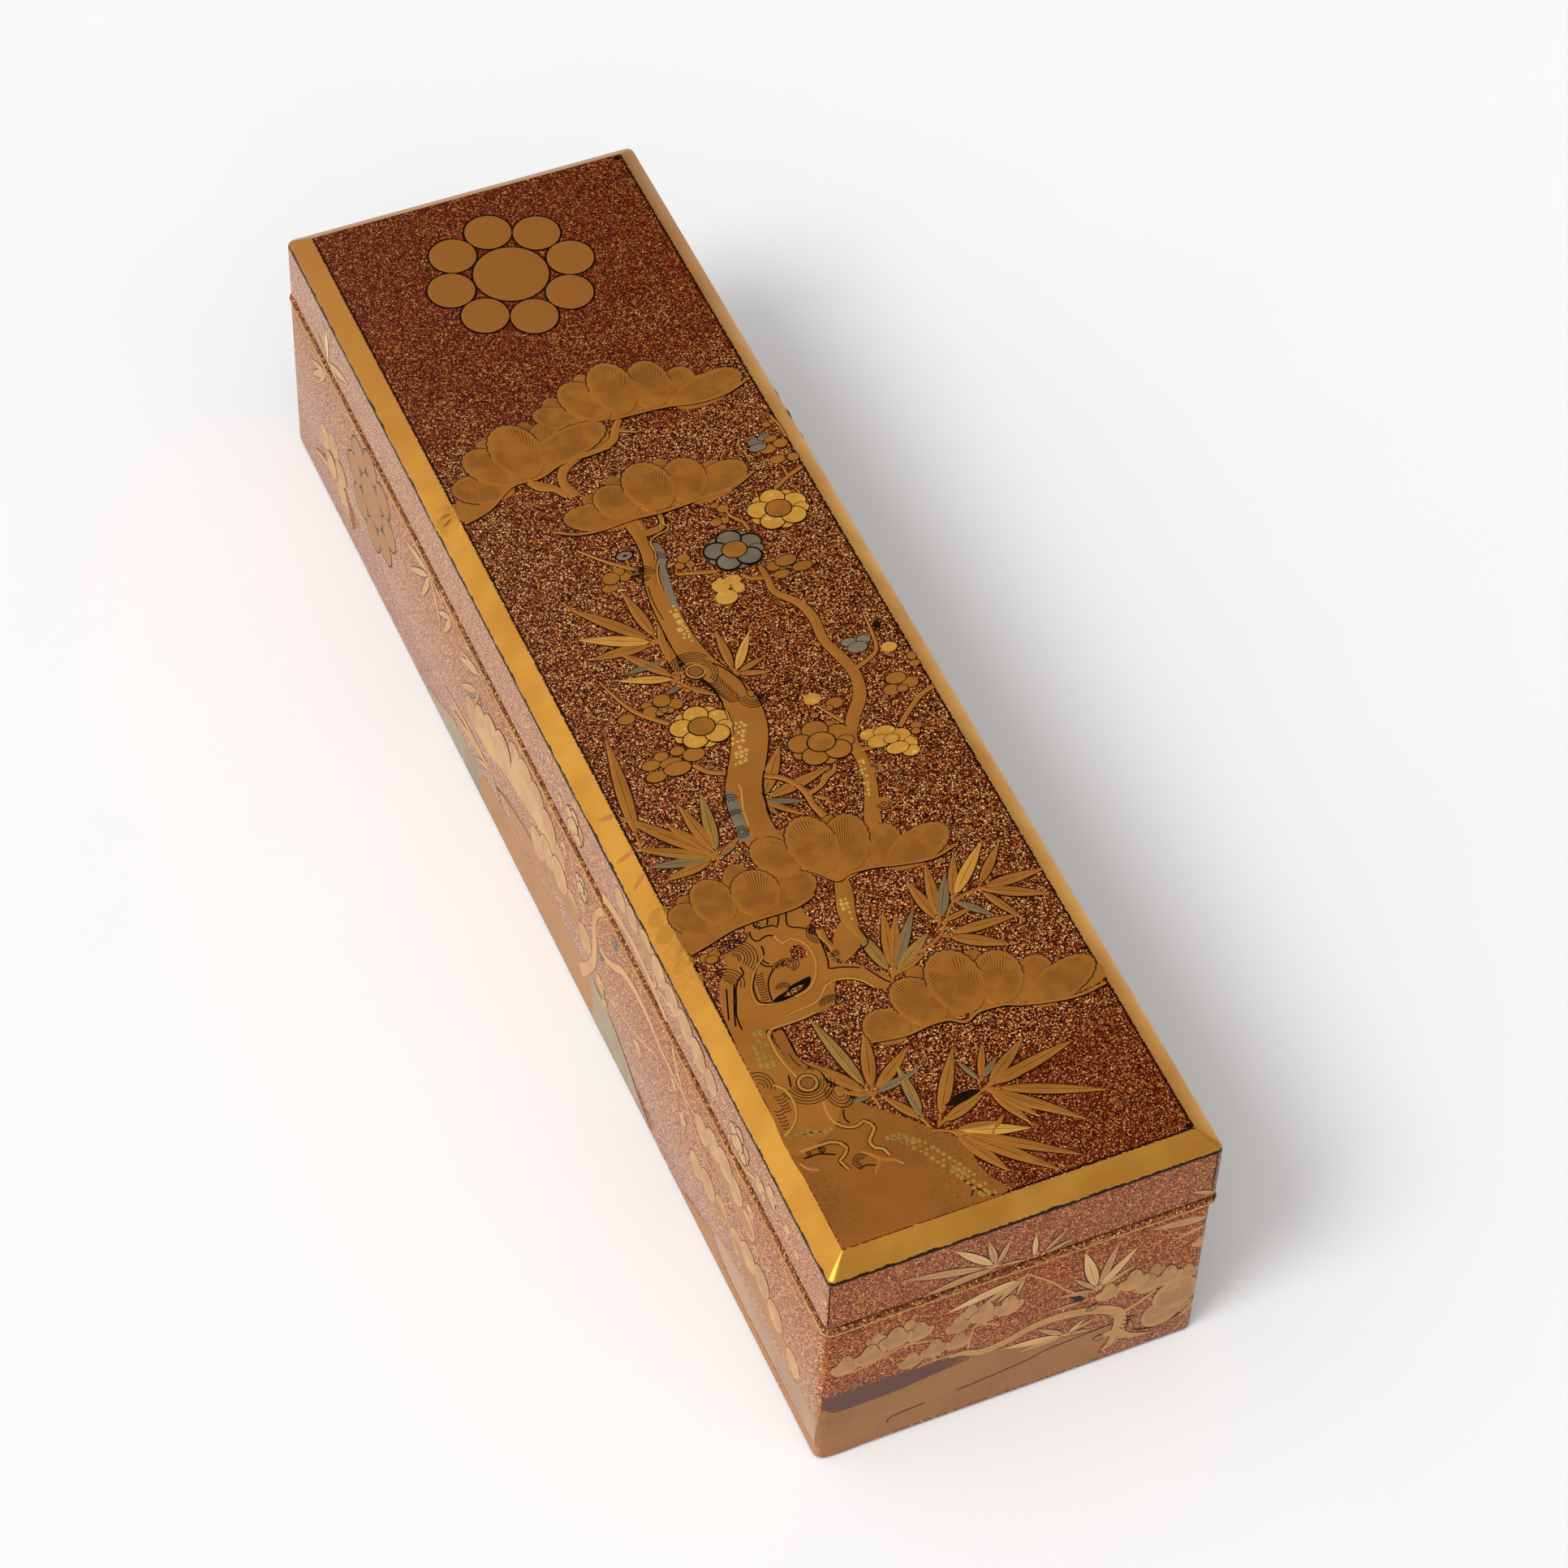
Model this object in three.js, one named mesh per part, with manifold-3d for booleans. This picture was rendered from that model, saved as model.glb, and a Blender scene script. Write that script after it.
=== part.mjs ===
import * as THREE from 'three';
import { mergeVertices } from 'three/addons/utils/BufferGeometryUtils.js';
import Module from 'manifold-3d';

// Japanese lacquered letter box: a long, low wooden box with a lift-off lid that
// slides over a raised inner rim. Millimetres, +Z up, X across, Y along.
// The origin is on the table, under the middle of the lid.

const wasm = await Module();
wasm.setup();

// Overall sizes
const lidWidth = 72;
const lidLength = 260;
const totalHeight = 56.7;
const rimHeight = 38.5; // top edge of the box walls, where the lid sits

// Lid: flat top with a wide bevel, thin skirt, shadow groove and round bead
const bevelRun = 3.9;
const bevelRise = 2.9;
const arrisRadius = 1.2;
const lidCornerRadius = 1.4;
const panelCornerRadius = 0.3;
const topBoardThickness = 4.4;
const topBoardSeat = 1; // how far the board's middle drops inside the skirt
const grooveHeight = 0.7;
const grooveDepth = 0.35;
const beadHeight = 1.7;
const beadProud = 0.4;

// Box walls
const boxInset = 0.1; // the box is this much slimmer than the skirt, each side
const wallThickness = 4.6;
const boxCornerRadius = 1.8;
const footArris = 0.6;
const mouthChamfer = 0.5; // gilded arris round the mouth

// Raised inner rim that guides the lid
const rimStripThickness = 1.8;
const rimStandHeight = 6;
const rimSeatDepth = 6;
const rimLeadIn = 0.4;

// Floor board let into a rabbet in the walls
const floorThickness = 3.6;
const floorRabbet = 2.3;

// Joinery: end boards are housed in the long boards, then pegged
const housingShare = 0.5; // of a board's thickness left outside the housing
const glueLine = 0.1;
const lidPlay = 0.5; // between the skirt and the inner rim, each side
const playTakenUp = 0.7; // share of the play by which the lid lies to the right
const lidPegRadius = 0.5;
const lidPegFootHeight = 4.8; // foot of a lid peg above the bead
const pegFit = 0.05;
const pegEndRoom = 0.3;
const pegCover = 0.8; // filler and lacquer over a peg's head
const boxPeg = { radius: 0.8, length: 10 };
const pegSides = 12;
const pegsPerCorner = 3;
const pegsPerLongSide = 3;
const pegRowShare = 0.75; // share of a long side that its row of pegs covers
const lowestCornerPeg = 7;
const cutRoom = 1; // how far a cutting block runs past what it cuts

// Sizes that follow
const lidHalf = { x: lidWidth / 2, y: lidLength / 2 };
const boxHalf = { x: lidHalf.x - boxInset, y: lidHalf.y - boxInset };
const wellHalf = shrink(boxHalf, wallThickness);
const rimOuterHalf = grow(wellHalf, rimStripThickness);
const floorHalf = grow(wellHalf, floorRabbet);
const lidInnerHalf = grow(rimOuterHalf, lidPlay);
const skirtThickness = lidHalf.x - lidInnerHalf.x;
const beadTop = rimHeight + beadHeight;
const skirtFoot = beadTop + glueLine;
const topBoardUnderside = totalHeight - topBoardThickness;
const arrisHeight = totalHeight - bevelRise;
const rimStripTop = rimHeight + rimStandHeight;
const rimStripFoot = rimHeight - rimSeatDepth;
const boxShift = -lidPlay * playTakenUp;
const lidPegHead = arrisHeight - pegCover;
const lidPegFoot = beadTop + lidPegFootHeight;
const lidPeg = { radius: lidPegRadius, length: lidPegHead - lidPegFoot };

// Finishes
const finish = {
  nashiji: { color: 0x7a3f22, roughness: 0.32, metalness: 0.25 },
  nashijiSide: { color: 0xa0664a, roughness: 0.32, metalness: 0.25 },
  bead: { color: 0x8a5a34, roughness: 0.35, metalness: 0.3 },
  gilded: { color: 0xb8802e, roughness: 0.38, metalness: 0.6 },
  darkLacquer: { color: 0x2a1712, roughness: 0.3, metalness: 0 },
  bamboo: { color: 0xc9ac74, roughness: 0.7, metalness: 0 },
};

function grow(half, by) {
  return { x: half.x + by, y: half.y + by };
}

function shrink(half, by) {
  return grow(half, -by);
}

// Closed outline of a rectangle with round corners, at one height
function roundedRing(half, radius, z, steps = 4) {
  const points = [];
  const corners = [[1, -1, -90], [1, 1, 0], [-1, 1, 90], [-1, -1, 180]];
  for (const [sx, sy, start] of corners) {
    const cx = sx * (half.x - radius);
    const cy = sy * (half.y - radius);
    for (let i = 0; i <= steps; i++) {
      const angle = THREE.MathUtils.degToRad(start + (90 * i) / steps);
      points.push(new THREE.Vector3(cx + radius * Math.cos(angle), cy + radius * Math.sin(angle), z));
    }
  }
  return points;
}

// Closed solid through a stack of outlines, each given as [inset, height]
function loftSolid(half, cornerRadius, profile, smallestRadius = cornerRadius / 4) {
  const rings = profile.map(([inset, z]) =>
    roundedRing(shrink(half, inset), Math.max(cornerRadius - inset, smallestRadius), z));
  const count = rings[0].length;
  const positions = rings.flat().flatMap((p) => [p.x, p.y, p.z]);
  const index = [];
  for (let r = 0; r + 1 < rings.length; r++) {
    for (let i = 0; i < count; i++) {
      const a = r * count + i;
      const b = r * count + ((i + 1) % count);
      index.push(a, b, b + count, a, b + count, a + count);
    }
  }
  const last = (rings.length - 1) * count;
  for (let i = 1; i + 1 < count; i++) {
    index.push(0, i + 1, i);
    index.push(last, last + i, last + i + 1);
  }
  const geometry = new THREE.BufferGeometry();
  geometry.setAttribute('position', new THREE.Float32BufferAttribute(positions, 3));
  geometry.setIndex(index);
  return toSolid(geometry);
}

function toSolid(geometry) {
  const bare = geometry.clone();
  bare.deleteAttribute('normal');
  bare.deleteAttribute('uv');
  const merged = mergeVertices(bare, 1e-5);
  return new wasm.Manifold(new wasm.Mesh({
    numProp: 3,
    vertProperties: new Float32Array(merged.attributes.position.array),
    triVerts: new Uint32Array(merged.index.array),
  }));
}

function toGeometry(solid) {
  const mesh = solid.getMesh();
  const geometry = new THREE.BufferGeometry();
  geometry.setAttribute('position', new THREE.Float32BufferAttribute(mesh.vertProperties, 3));
  geometry.setIndex(new THREE.Uint32BufferAttribute(mesh.triVerts, 1));
  geometry.computeVertexNormals();
  return geometry;
}

// Box between two corners
function blockSolid(low, high) {
  const size = high.map((value, i) => value - low[i]);
  const geometry = new THREE.BoxGeometry(...size);
  geometry.translate(...low.map((value, i) => value + size[i] / 2));
  return toSolid(geometry);
}

// Upright block centred on the axis, from one height to another
function coreSolid(half, bottom, top) {
  return blockSolid([-half.x, -half.y, bottom], [half.x, half.y, top]);
}

function piece(name, solid, look) {
  const mesh = new THREE.Mesh(toGeometry(solid), new THREE.MeshStandardMaterial(look));
  mesh.name = name;
  return mesh;
}

// Left or right half of everything within an outline
function sideRegion(half, side, bottom, top) {
  const reach = half.x + cutRoom;
  const x = side < 0 ? [-reach, 0] : [0, reach];
  const y = half.y + cutRoom;
  return blockSolid([x[0], -y, bottom - cutRoom], [x[1], y, top + cutRoom]);
}

// The place of one end board: between the long boards, from the inner face outwards
function endRegion(half, thickness, side, bottom, top, gap) {
  const x = half.x - thickness * housingShare - gap;
  const inner = half.y - thickness + gap;
  const outer = half.y + cutRoom;
  const y = side < 0 ? [-outer, -inner] : [inner, outer];
  return blockSolid([-x, y[0], bottom - cutRoom], [x, y[1], top + cutRoom]);
}

// Four boards of a frame: the long ones housed to take the ends of the short ones
function housedBoards(frame, half, thickness, bottom, top, name, look) {
  const ends = [[-1, 'near'], [1, 'far']];
  const longBoards = [[-1, 'left'], [1, 'right']].map(([side, word]) => {
    let solid = frame.intersect(sideRegion(half, side, bottom, top));
    for (const [end] of ends) {
      solid = solid.subtract(endRegion(half, thickness, end, bottom, top, 0));
    }
    return { name: name(word), solid, look };
  });
  const endBoards = ends.map(([end, word]) => {
    const region = endRegion(half, thickness, end, bottom, top, glueLine);
    return { name: name(word), solid: frame.intersect(region), look };
  });
  return [...longBoards, ...endBoards];
}

// Wedge that takes the near or far strip of a frame, mitred at 45 degrees
function mitreWedge(half, thickness, side, bottom, top) {
  const out = thickness + cutRoom;
  const shape = new THREE.Shape();
  shape.moveTo(-half.x - out, side * (half.y + out));
  shape.lineTo(half.x + out, side * (half.y + out));
  shape.lineTo(half.x - out, side * (half.y - out));
  shape.lineTo(-half.x + out, side * (half.y - out));
  const depth = top - bottom + 2 * cutRoom;
  const geometry = new THREE.ExtrudeGeometry(shape, { depth, bevelEnabled: false });
  geometry.translate(0, 0, bottom - cutRoom);
  return toSolid(geometry);
}

// Four strips of a frame that meet in mitres
function mitredStrips(frame, half, thickness, bottom, top, name, look) {
  const wedges = [-1, 1].map((side) => mitreWedge(half, thickness, side, bottom, top));
  const endStrips = ['near', 'far'].map((word, i) => (
    { name: name(word), solid: frame.intersect(wedges[i]), look }));
  const longStrips = [[-1, 'left'], [1, 'right']].map(([side, word]) => {
    const solid = frame
      .intersect(sideRegion(grow(half, thickness), side, bottom, top))
      .subtract(wedges[0])
      .subtract(wedges[1]);
    return { name: name(word), solid, look };
  });
  return [...endStrips, ...longStrips];
}

// Round peg with its middle at a point, along one axis ('x' or 'z')
function pegSolid(peg, middle, axis, extra = 0, room = 0) {
  const geometry = new THREE.CylinderGeometry(
    peg.radius + extra, peg.radius + extra, peg.length + 2 * room, pegSides);
  if (axis === 'x') {
    geometry.rotateZ(Math.PI / 2);
  } else {
    geometry.rotateX(Math.PI / 2);
  }
  geometry.translate(...middle);
  return toSolid(geometry);
}

// Evenly spread places between two ends, the ends included
function spread(from, to, count) {
  return Array.from({ length: count }, (_, i) => from + ((to - from) * i) / (count - 1));
}

// Places for upright pegs: a row along each long side and one in each short side
function sidePegPlaces(half, z) {
  const rowEnd = half.y * pegRowShare;
  const places = [];
  for (const side of [-1, 1]) {
    for (const y of spread(-rowEnd, rowEnd, pegsPerLongSide)) {
      places.push([side * half.x, y, z]);
    }
    places.push([0, side * half.y, z]);
  }
  return places;
}

// Peg pockets are cut into every board they pass, and the pegs are added as pieces
function drivePegs(boards, pegs, group) {
  for (const peg of pegs) {
    const pocket = pegSolid(peg.kind, peg.middle, peg.axis, pegFit, pegEndRoom);
    for (const board of boards) {
      board.solid = board.solid.subtract(pocket);
    }
    group.add(piece(peg.name, pegSolid(peg.kind, peg.middle, peg.axis), finish.bamboo));
  }
}

function addAll(group, boards) {
  for (const board of boards) {
    group.add(piece(board.name, board.solid, board.look));
  }
}

// Flat top planed to a wide bevel, its arris rounded, and a raised field below that
// drops inside the skirt
function lidTopBoard() {
  const slope = Math.atan2(bevelRise, bevelRun);
  const tangent = arrisRadius * Math.tan((Math.PI / 2 - slope) / 2);
  const centre = { inset: arrisRadius, z: arrisHeight - tangent };
  const profile = [[0, topBoardUnderside]];
  for (const t of [0, 0.5, 1]) {
    const angle = t * (Math.PI / 2 - slope);
    profile.push([
      centre.inset - arrisRadius * Math.cos(angle),
      centre.z + arrisRadius * Math.sin(angle),
    ]);
  }
  profile.push([bevelRun, totalHeight]);
  const board = loftSolid(lidHalf, lidCornerRadius, profile, panelCornerRadius);
  const fieldHalf = shrink(lidInnerHalf, glueLine);
  const field = coreSolid(fieldHalf, topBoardUnderside - topBoardSeat, topBoardUnderside + cutRoom);
  return { name: 'lid_top_board', solid: board.add(field), look: finish.nashiji };
}

// Four skirt boards under the top board, with a shadow groove above the bead
function lidSkirtBoards() {
  const top = topBoardUnderside - glueLine;
  const profile = [
    [grooveDepth, skirtFoot],
    [grooveDepth, beadTop + grooveHeight],
    [0, beadTop + grooveHeight],
    [0, top],
  ];
  const frame = loftSolid(lidHalf, lidCornerRadius, profile)
    .subtract(coreSolid(lidInnerHalf, skirtFoot - cutRoom, top + cutRoom));
  const name = (word) => `lid_${word}_skirt`;
  return housedBoards(frame, lidHalf, skirtThickness, skirtFoot, top, name, finish.nashijiSide);
}

// Round-nosed bead glued under the skirt, mitred at the corners
function lidBeads() {
  const steps = 6;
  const nose = beadProud + grooveDepth;
  const profile = [];
  for (let i = 0; i <= steps; i++) {
    const angle = THREE.MathUtils.degToRad(-90 + (180 * i) / steps);
    profile.push([
      grooveDepth - nose * Math.cos(angle),
      rimHeight + (beadHeight / 2) * (1 + Math.sin(angle)),
    ]);
  }
  const frame = loftSolid(lidHalf, lidCornerRadius, profile)
    .subtract(coreSolid(lidInnerHalf, rimHeight - cutRoom, beadTop + cutRoom));
  const name = (word) => `lid_${word}_bead`;
  return mitredStrips(frame, lidHalf, skirtThickness, rimHeight, beadTop, name, finish.bead);
}

function buildLid() {
  const lid = new THREE.Group();
  const boards = [lidTopBoard(), ...lidSkirtBoards()];
  const middle = shrink(lidHalf, skirtThickness / 2);
  const z = (lidPegHead + lidPegFoot) / 2;
  const pegs = sidePegPlaces(middle, z).map((place, i) => ({
    name: `lid_peg_${i + 1}`, kind: lidPeg, middle: place, axis: 'z',
  }));
  drivePegs(boards, pegs, lid);
  addAll(lid, [...boards, ...lidBeads()]);
  return lid;
}

// Walls with round corners, cut for the floor board and for the inner rim
function boxWalls() {
  const profile = [
    [footArris, 0],
    [0, footArris],
    [0, rimHeight - mouthChamfer],
    [mouthChamfer, rimHeight],
  ];
  const frame = loftSolid(boxHalf, boxCornerRadius, profile)
    .subtract(coreSolid(wellHalf, -cutRoom, rimHeight + cutRoom))
    .subtract(coreSolid(rimOuterHalf, rimStripFoot - glueLine, rimHeight + cutRoom))
    .subtract(coreSolid(floorHalf, -cutRoom, floorThickness));
  const name = (word) => `box_${word}_wall`;
  return housedBoards(frame, boxHalf, wallThickness, 0, rimHeight, name, finish.nashijiSide);
}

function floorBoard() {
  return {
    name: 'box_bottom_board',
    solid: coreSolid(shrink(floorHalf, glueLine), 0, floorThickness - glueLine),
    look: finish.darkLacquer,
  };
}

// Thin strips that stand up inside the mouth, with a small lead-in for the lid
function innerRimStrips() {
  const outer = shrink(rimOuterHalf, glueLine);
  const profile = [
    [0, rimStripFoot],
    [0, rimStripTop - rimLeadIn],
    [rimLeadIn, rimStripTop],
  ];
  const frame = loftSolid(outer, rimLeadIn, profile)
    .subtract(coreSolid(wellHalf, rimStripFoot - cutRoom, rimStripTop + cutRoom));
  const name = (word) => `inner_rim_${word}`;
  return mitredStrips(frame, outer, rimStripThickness, rimStripFoot, rimStripTop, name, finish.gilded);
}

// Pegs through the long walls into the ends of the short walls
function cornerPegs() {
  const x = boxHalf.x - pegCover - boxPeg.length / 2;
  const y = boxHalf.y - wallThickness / 2;
  const heights = spread(lowestCornerPeg, rimStripFoot - boxPeg.radius * 2, pegsPerCorner);
  const pegs = [];
  for (const [sy, end] of [[-1, 'near'], [1, 'far']]) {
    for (const [sx, side] of [[-1, 'left'], [1, 'right']]) {
      heights.forEach((z, i) => pegs.push({
        name: `wall_peg_${end}_${side}_${i + 1}`, kind: boxPeg, middle: [sx * x, sy * y, z], axis: 'x',
      }));
    }
  }
  return pegs;
}

// Pegs up through the rim of the floor board into the walls
function floorPegs() {
  const middle = grow(wellHalf, floorRabbet / 2);
  const z = pegCover + boxPeg.length / 2;
  return sidePegPlaces(middle, z).map((place, i) => ({
    name: `floor_peg_${i + 1}`, kind: boxPeg, middle: place, axis: 'z',
  }));
}

function buildBox() {
  const box = new THREE.Group();
  const boards = [floorBoard(), ...boxWalls()];
  drivePegs(boards, [...cornerPegs(), ...floorPegs()], box);
  addAll(box, [...boards, ...innerRimStrips()]);
  box.position.x = boxShift;
  return box;
}

const letterBox = new THREE.Group();
letterBox.add(buildLid(), buildBox());

export default letterBox;
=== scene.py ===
# %% [markdown]
# # A letter box in gold-sprinkled lacquer
#
# The real object is a long, low wooden box with a lift-off lid. Its boards are
# lacquered dark, sprinkled with gold flakes and covered with a clear amber coat, and
# a pine, a plum tree and bamboo are laid over that in raised gold. This lesson builds
# the boards one by one, then the raised pictures, then the finishes.
#
# The wooden parts already exist as a fixed frame in metres. Every piece made here
# takes its size and place from that frame, and rides on the lid or on the box.

# %% Load the fixed frame
import math
import random

import bpy
from mathutils import Matrix, Vector


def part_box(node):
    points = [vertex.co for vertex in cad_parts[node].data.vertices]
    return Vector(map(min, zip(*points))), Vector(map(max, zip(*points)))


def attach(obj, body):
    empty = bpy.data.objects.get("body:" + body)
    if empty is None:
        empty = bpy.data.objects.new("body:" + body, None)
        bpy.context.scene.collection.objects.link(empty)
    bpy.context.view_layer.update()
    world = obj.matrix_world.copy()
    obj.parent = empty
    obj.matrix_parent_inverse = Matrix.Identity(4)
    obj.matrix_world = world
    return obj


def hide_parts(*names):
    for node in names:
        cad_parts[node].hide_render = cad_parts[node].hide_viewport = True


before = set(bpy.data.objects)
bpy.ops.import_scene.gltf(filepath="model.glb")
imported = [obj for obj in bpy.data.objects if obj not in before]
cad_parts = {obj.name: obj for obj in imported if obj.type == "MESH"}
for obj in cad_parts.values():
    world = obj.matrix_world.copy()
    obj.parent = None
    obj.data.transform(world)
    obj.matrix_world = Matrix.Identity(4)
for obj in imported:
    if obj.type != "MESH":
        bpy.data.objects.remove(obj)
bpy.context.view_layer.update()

# %% [markdown]
# ## Millimetres at the bench, metres in the scene
#
# Lacquer work is measured in tenths of a millimetre, so each piece is modelled in
# millimetres and scaled down once, when it is finished. The frame gives the sizes of
# the boards, and the few values that it can't give, such as the width of a rounded
# edge, have names here.

# %% Sizes of the boards in millimetres
MM = 0.001


def box_mm(node):
    """Lowest and highest corner of a board of the frame, in millimetres."""
    low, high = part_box(node)
    return low / MM, high / MM


top_low, top_high = box_mm("lid_top_board")
skirt_low, skirt_high = box_mm("lid_left_skirt")
bead_low, bead_high = box_mm("lid_left_bead")
near_bead_low = box_mm("lid_near_bead")[0]
wall_low, wall_high = box_mm("box_left_wall")
rim_low, rim_high = box_mm("inner_rim_left")
floor_low, floor_high = box_mm("box_bottom_board")
end_wall_low = box_mm("box_near_wall")[0]

lid_half = Vector((top_high.x, top_high.y))
lid_top = top_high.z
bevel_run = 3.9
bevel_rise = 2.9
panel_half = lid_half - Vector((bevel_run, bevel_run))
arris_height = lid_top - bevel_rise
arris_soften = 0.6
board_underside = 52.3
lid_corner = 1.4
panel_corner = 0.3
panel_soften = 0.12
underside_step = 2.5
bead_top = bead_high.z
groove_height = 0.7
groove_depth = 0.35
bead_corner = 1.8
box_corner = 1.8
mouth_arris = 0.5
foot_arris = 0.6
rim_lead_in = 0.4
floor_soften = 0.25
skirt_thickness = skirt_high.x - skirt_low.x
wall_thickness = 4.6
box_middle = (floor_low.x + floor_high.x) / 2
box_half = Vector((box_middle - wall_low.x, -end_wall_low.y))
rim_height = wall_high.z
print("lid half sizes", tuple(lid_half), "box middle at x", round(box_middle, 2))

# %% [markdown]
# ## Small tools
#
# Operators act on whatever is selected, so each helper first deselects everything and
# then selects what it needs by its place or its normal. The same five or six helpers
# serve every board.

# %% Selecting and shaping
def select_only(*objects):
    """Selects these objects and nothing else; the first one becomes active."""
    bpy.ops.object.select_all(action="DESELECT")
    for obj in objects:
        obj.select_set(True)
    bpy.context.view_layer.objects.active = objects[0]


def pick(obj, kind, wanted):
    """Edit mode, with only the vertices, edges or faces selected that pass a test.
    The test gets the middle of each, and its normal or an edge's direction."""
    select_only(obj)
    bpy.ops.object.mode_set(mode="EDIT")
    bpy.ops.mesh.select_mode(type=kind)
    bpy.ops.mesh.select_all(action="DESELECT")
    bpy.ops.object.mode_set(mode="OBJECT")
    mesh = obj.data
    if kind == "FACE":
        for face in mesh.polygons:
            face.select = wanted(face.center, face.normal)
    elif kind == "EDGE":
        for edge in mesh.edges:
            a, b = (mesh.vertices[i].co for i in edge.vertices)
            edge.select = wanted((a + b) / 2, (b - a).normalized())
    else:
        for vertex in mesh.vertices:
            vertex.select = wanted(vertex.co, vertex.normal)
    bpy.ops.object.mode_set(mode="EDIT")


def leave_edit():
    bpy.ops.object.mode_set(mode="OBJECT")


def block(name, low, high):
    """A box between two corners, its place and size applied to its mesh."""
    low = Vector(low)
    high = Vector(high)
    bpy.ops.mesh.primitive_cube_add(size=1, location=(low + high) / 2)
    obj = bpy.context.object
    obj.name = name
    obj.scale = high - low
    bpy.ops.object.transform_apply(location=True, rotation=False, scale=True)
    return obj


def core(half, bottom, top, middle=0.0):
    """An upright block round the middle, to cut a hollow with."""
    low = (middle - half.x, -half.y, bottom)
    high = (middle + half.x, half.y, top)
    return block("cutter", low, high)


def round_uprights(obj, radius, segments=6):
    """Rounds the four upright edges of a block."""
    pick(obj, "EDGE", lambda middle, along: abs(along.z) > 0.9)
    bpy.ops.mesh.bevel(offset=radius, segments=segments, affect="EDGES")
    leave_edit()


def soften_rim(obj, height, offset, segments=2):
    """Rounds the edges that run round a block at one height."""
    pick(obj, "EDGE", lambda m, along: abs(along.z) < 0.1 and abs(m.z - height) < 0.01)
    bpy.ops.mesh.bevel(offset=offset, segments=segments, affect="EDGES")
    leave_edit()


def carve(obj, cutter, operation="DIFFERENCE"):
    """Cuts one solid with another, and throws the cutter away."""
    modifier = obj.modifiers.new("carve", "BOOLEAN")
    modifier.operation = operation
    modifier.solver = "EXACT"
    modifier.object = cutter
    select_only(obj)
    bpy.ops.object.modifier_apply(modifier=modifier.name)
    bpy.data.objects.remove(cutter)
    return obj


def copy_of(obj, name):
    """A copy with its own mesh."""
    twin = obj.copy()
    twin.data = obj.data.copy()
    twin.name = name
    bpy.context.scene.collection.objects.link(twin)
    return twin


def cut_away(obj, point, normal):
    """Cuts along a plane, drops the side the normal points to and closes the cut."""
    pick(obj, "FACE", lambda middle, face_normal: True)
    bpy.ops.mesh.bisect(
        plane_co=point, plane_no=normal, use_fill=True, clear_outer=True, clear_inner=False
    )
    leave_edit()


print("tools ready")

# %% [markdown]
# ## Nodes and colours
#
# Every finish is built from shader nodes. One function adds a node: values fill its
# inputs in order, and a node given as a value is linked. Hex colours are the usual
# sRGB ones, and one function turns them into the linear values that the shader works
# in. Patterns read Object coordinates, which are metres in the frame, so a scale of
# 1000 divided by a size in millimetres gives a pattern of that real size.

# %% Colour and node helpers
SOFT = {"interpolation_type": "SMOOTHSTEP"}
COLOURS = {"data_type": "RGBA"}


def linear(hex_colour):
    """The linear RGBA value of an sRGB hex colour."""
    values = [int(hex_colour[i:i + 2], 16) / 255 for i in (1, 3, 5)]
    shades = [v / 12.92 if v <= 0.04045 else ((v + 0.055) / 1.055) ** 2.4 for v in values]
    return (*shades, 1.0)


def per_mm(size):
    """Texture scale for a pattern that repeats about every so many millimetres."""
    return 1 / (size * MM)


def feed(tree, socket, value):
    """Links a node or socket to an input, or sets its value. Text is a hex colour."""
    if isinstance(value, bpy.types.Node):
        value = next(output for output in value.outputs if output.enabled)
    if isinstance(value, bpy.types.NodeSocket):
        tree.links.new(value, socket)
    else:
        socket.default_value = linear(value) if isinstance(value, str) else value


def feed_named(tree, node, **inputs):
    """Feeds inputs by name, with _ for a space."""
    for name, value in inputs.items():
        feed(tree, node.inputs[name.replace("_", " ")], value)


def add_node(tree, kind, *values, **named):
    """Adds a node. Values fill its inputs in order. A named value is a setting, if the
    node has one of that name, and an input otherwise."""
    node = tree.nodes.new("ShaderNode" + kind)
    for name in [name for name in named if hasattr(node, name)]:
        setattr(node, name, named.pop(name))
    in_order = [socket for socket in node.inputs if socket.enabled]
    for socket, value in zip(in_order, values):
        feed(tree, socket, value)
    feed_named(tree, node, **named)
    return node


def set_stops(ramp, stops):
    """Gives a colour ramp its stops: pairs of place and hex colour."""
    elements = ramp.color_ramp.elements
    while len(elements) < len(stops):
        elements.new(0.5)
    for element, (place, colour) in zip(elements, stops):
        element.position = place
        element.color = linear(colour)
    return ramp


def new_material(name):
    """An empty material, its tree, its shader, and the Object coordinates."""
    material = bpy.data.materials.new(name)
    material.use_nodes = True
    tree = material.node_tree
    tree.nodes.clear()
    shader = add_node(tree, "BsdfPrincipled")
    add_node(tree, "OutputMaterial", shader)
    return material, tree, shader, add_node(tree, "TexCoord").outputs["Object"]


def reopened(material):
    """The tree, shader, Object coordinates and present base colour of a material."""
    tree = material.node_tree
    shader = tree.nodes["Principled BSDF"]
    place = add_node(tree, "TexCoord").outputs["Object"]
    return tree, shader, place, shader.inputs["Base Color"].links[0].from_socket


print("node helpers ready")

# %% [markdown]
# ## Nashiji: the gold-sprinkled ground
#
# The ground looks like the skin of a pear. Flakes of gold a fifth of a millimetre
# across lie at many angles under amber lacquer: some flash, some hide in the dark
# coat. A Voronoi pattern gives each flake its own cell and its own random value, and
# a ramp turns that value into bright, amber, red-brown or nearly black. A clear coat
# on top gives the polished gloss.

# %% Nashiji recipe
flake_size = 0.2
bead_flake_size = 0.26
# Painted shade: the top's ground turns darker and redder toward both ends, between these places along the box
# in millimetres.
far_end_shade = (45, 85)
near_end_shade = (-110, -85)


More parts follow.
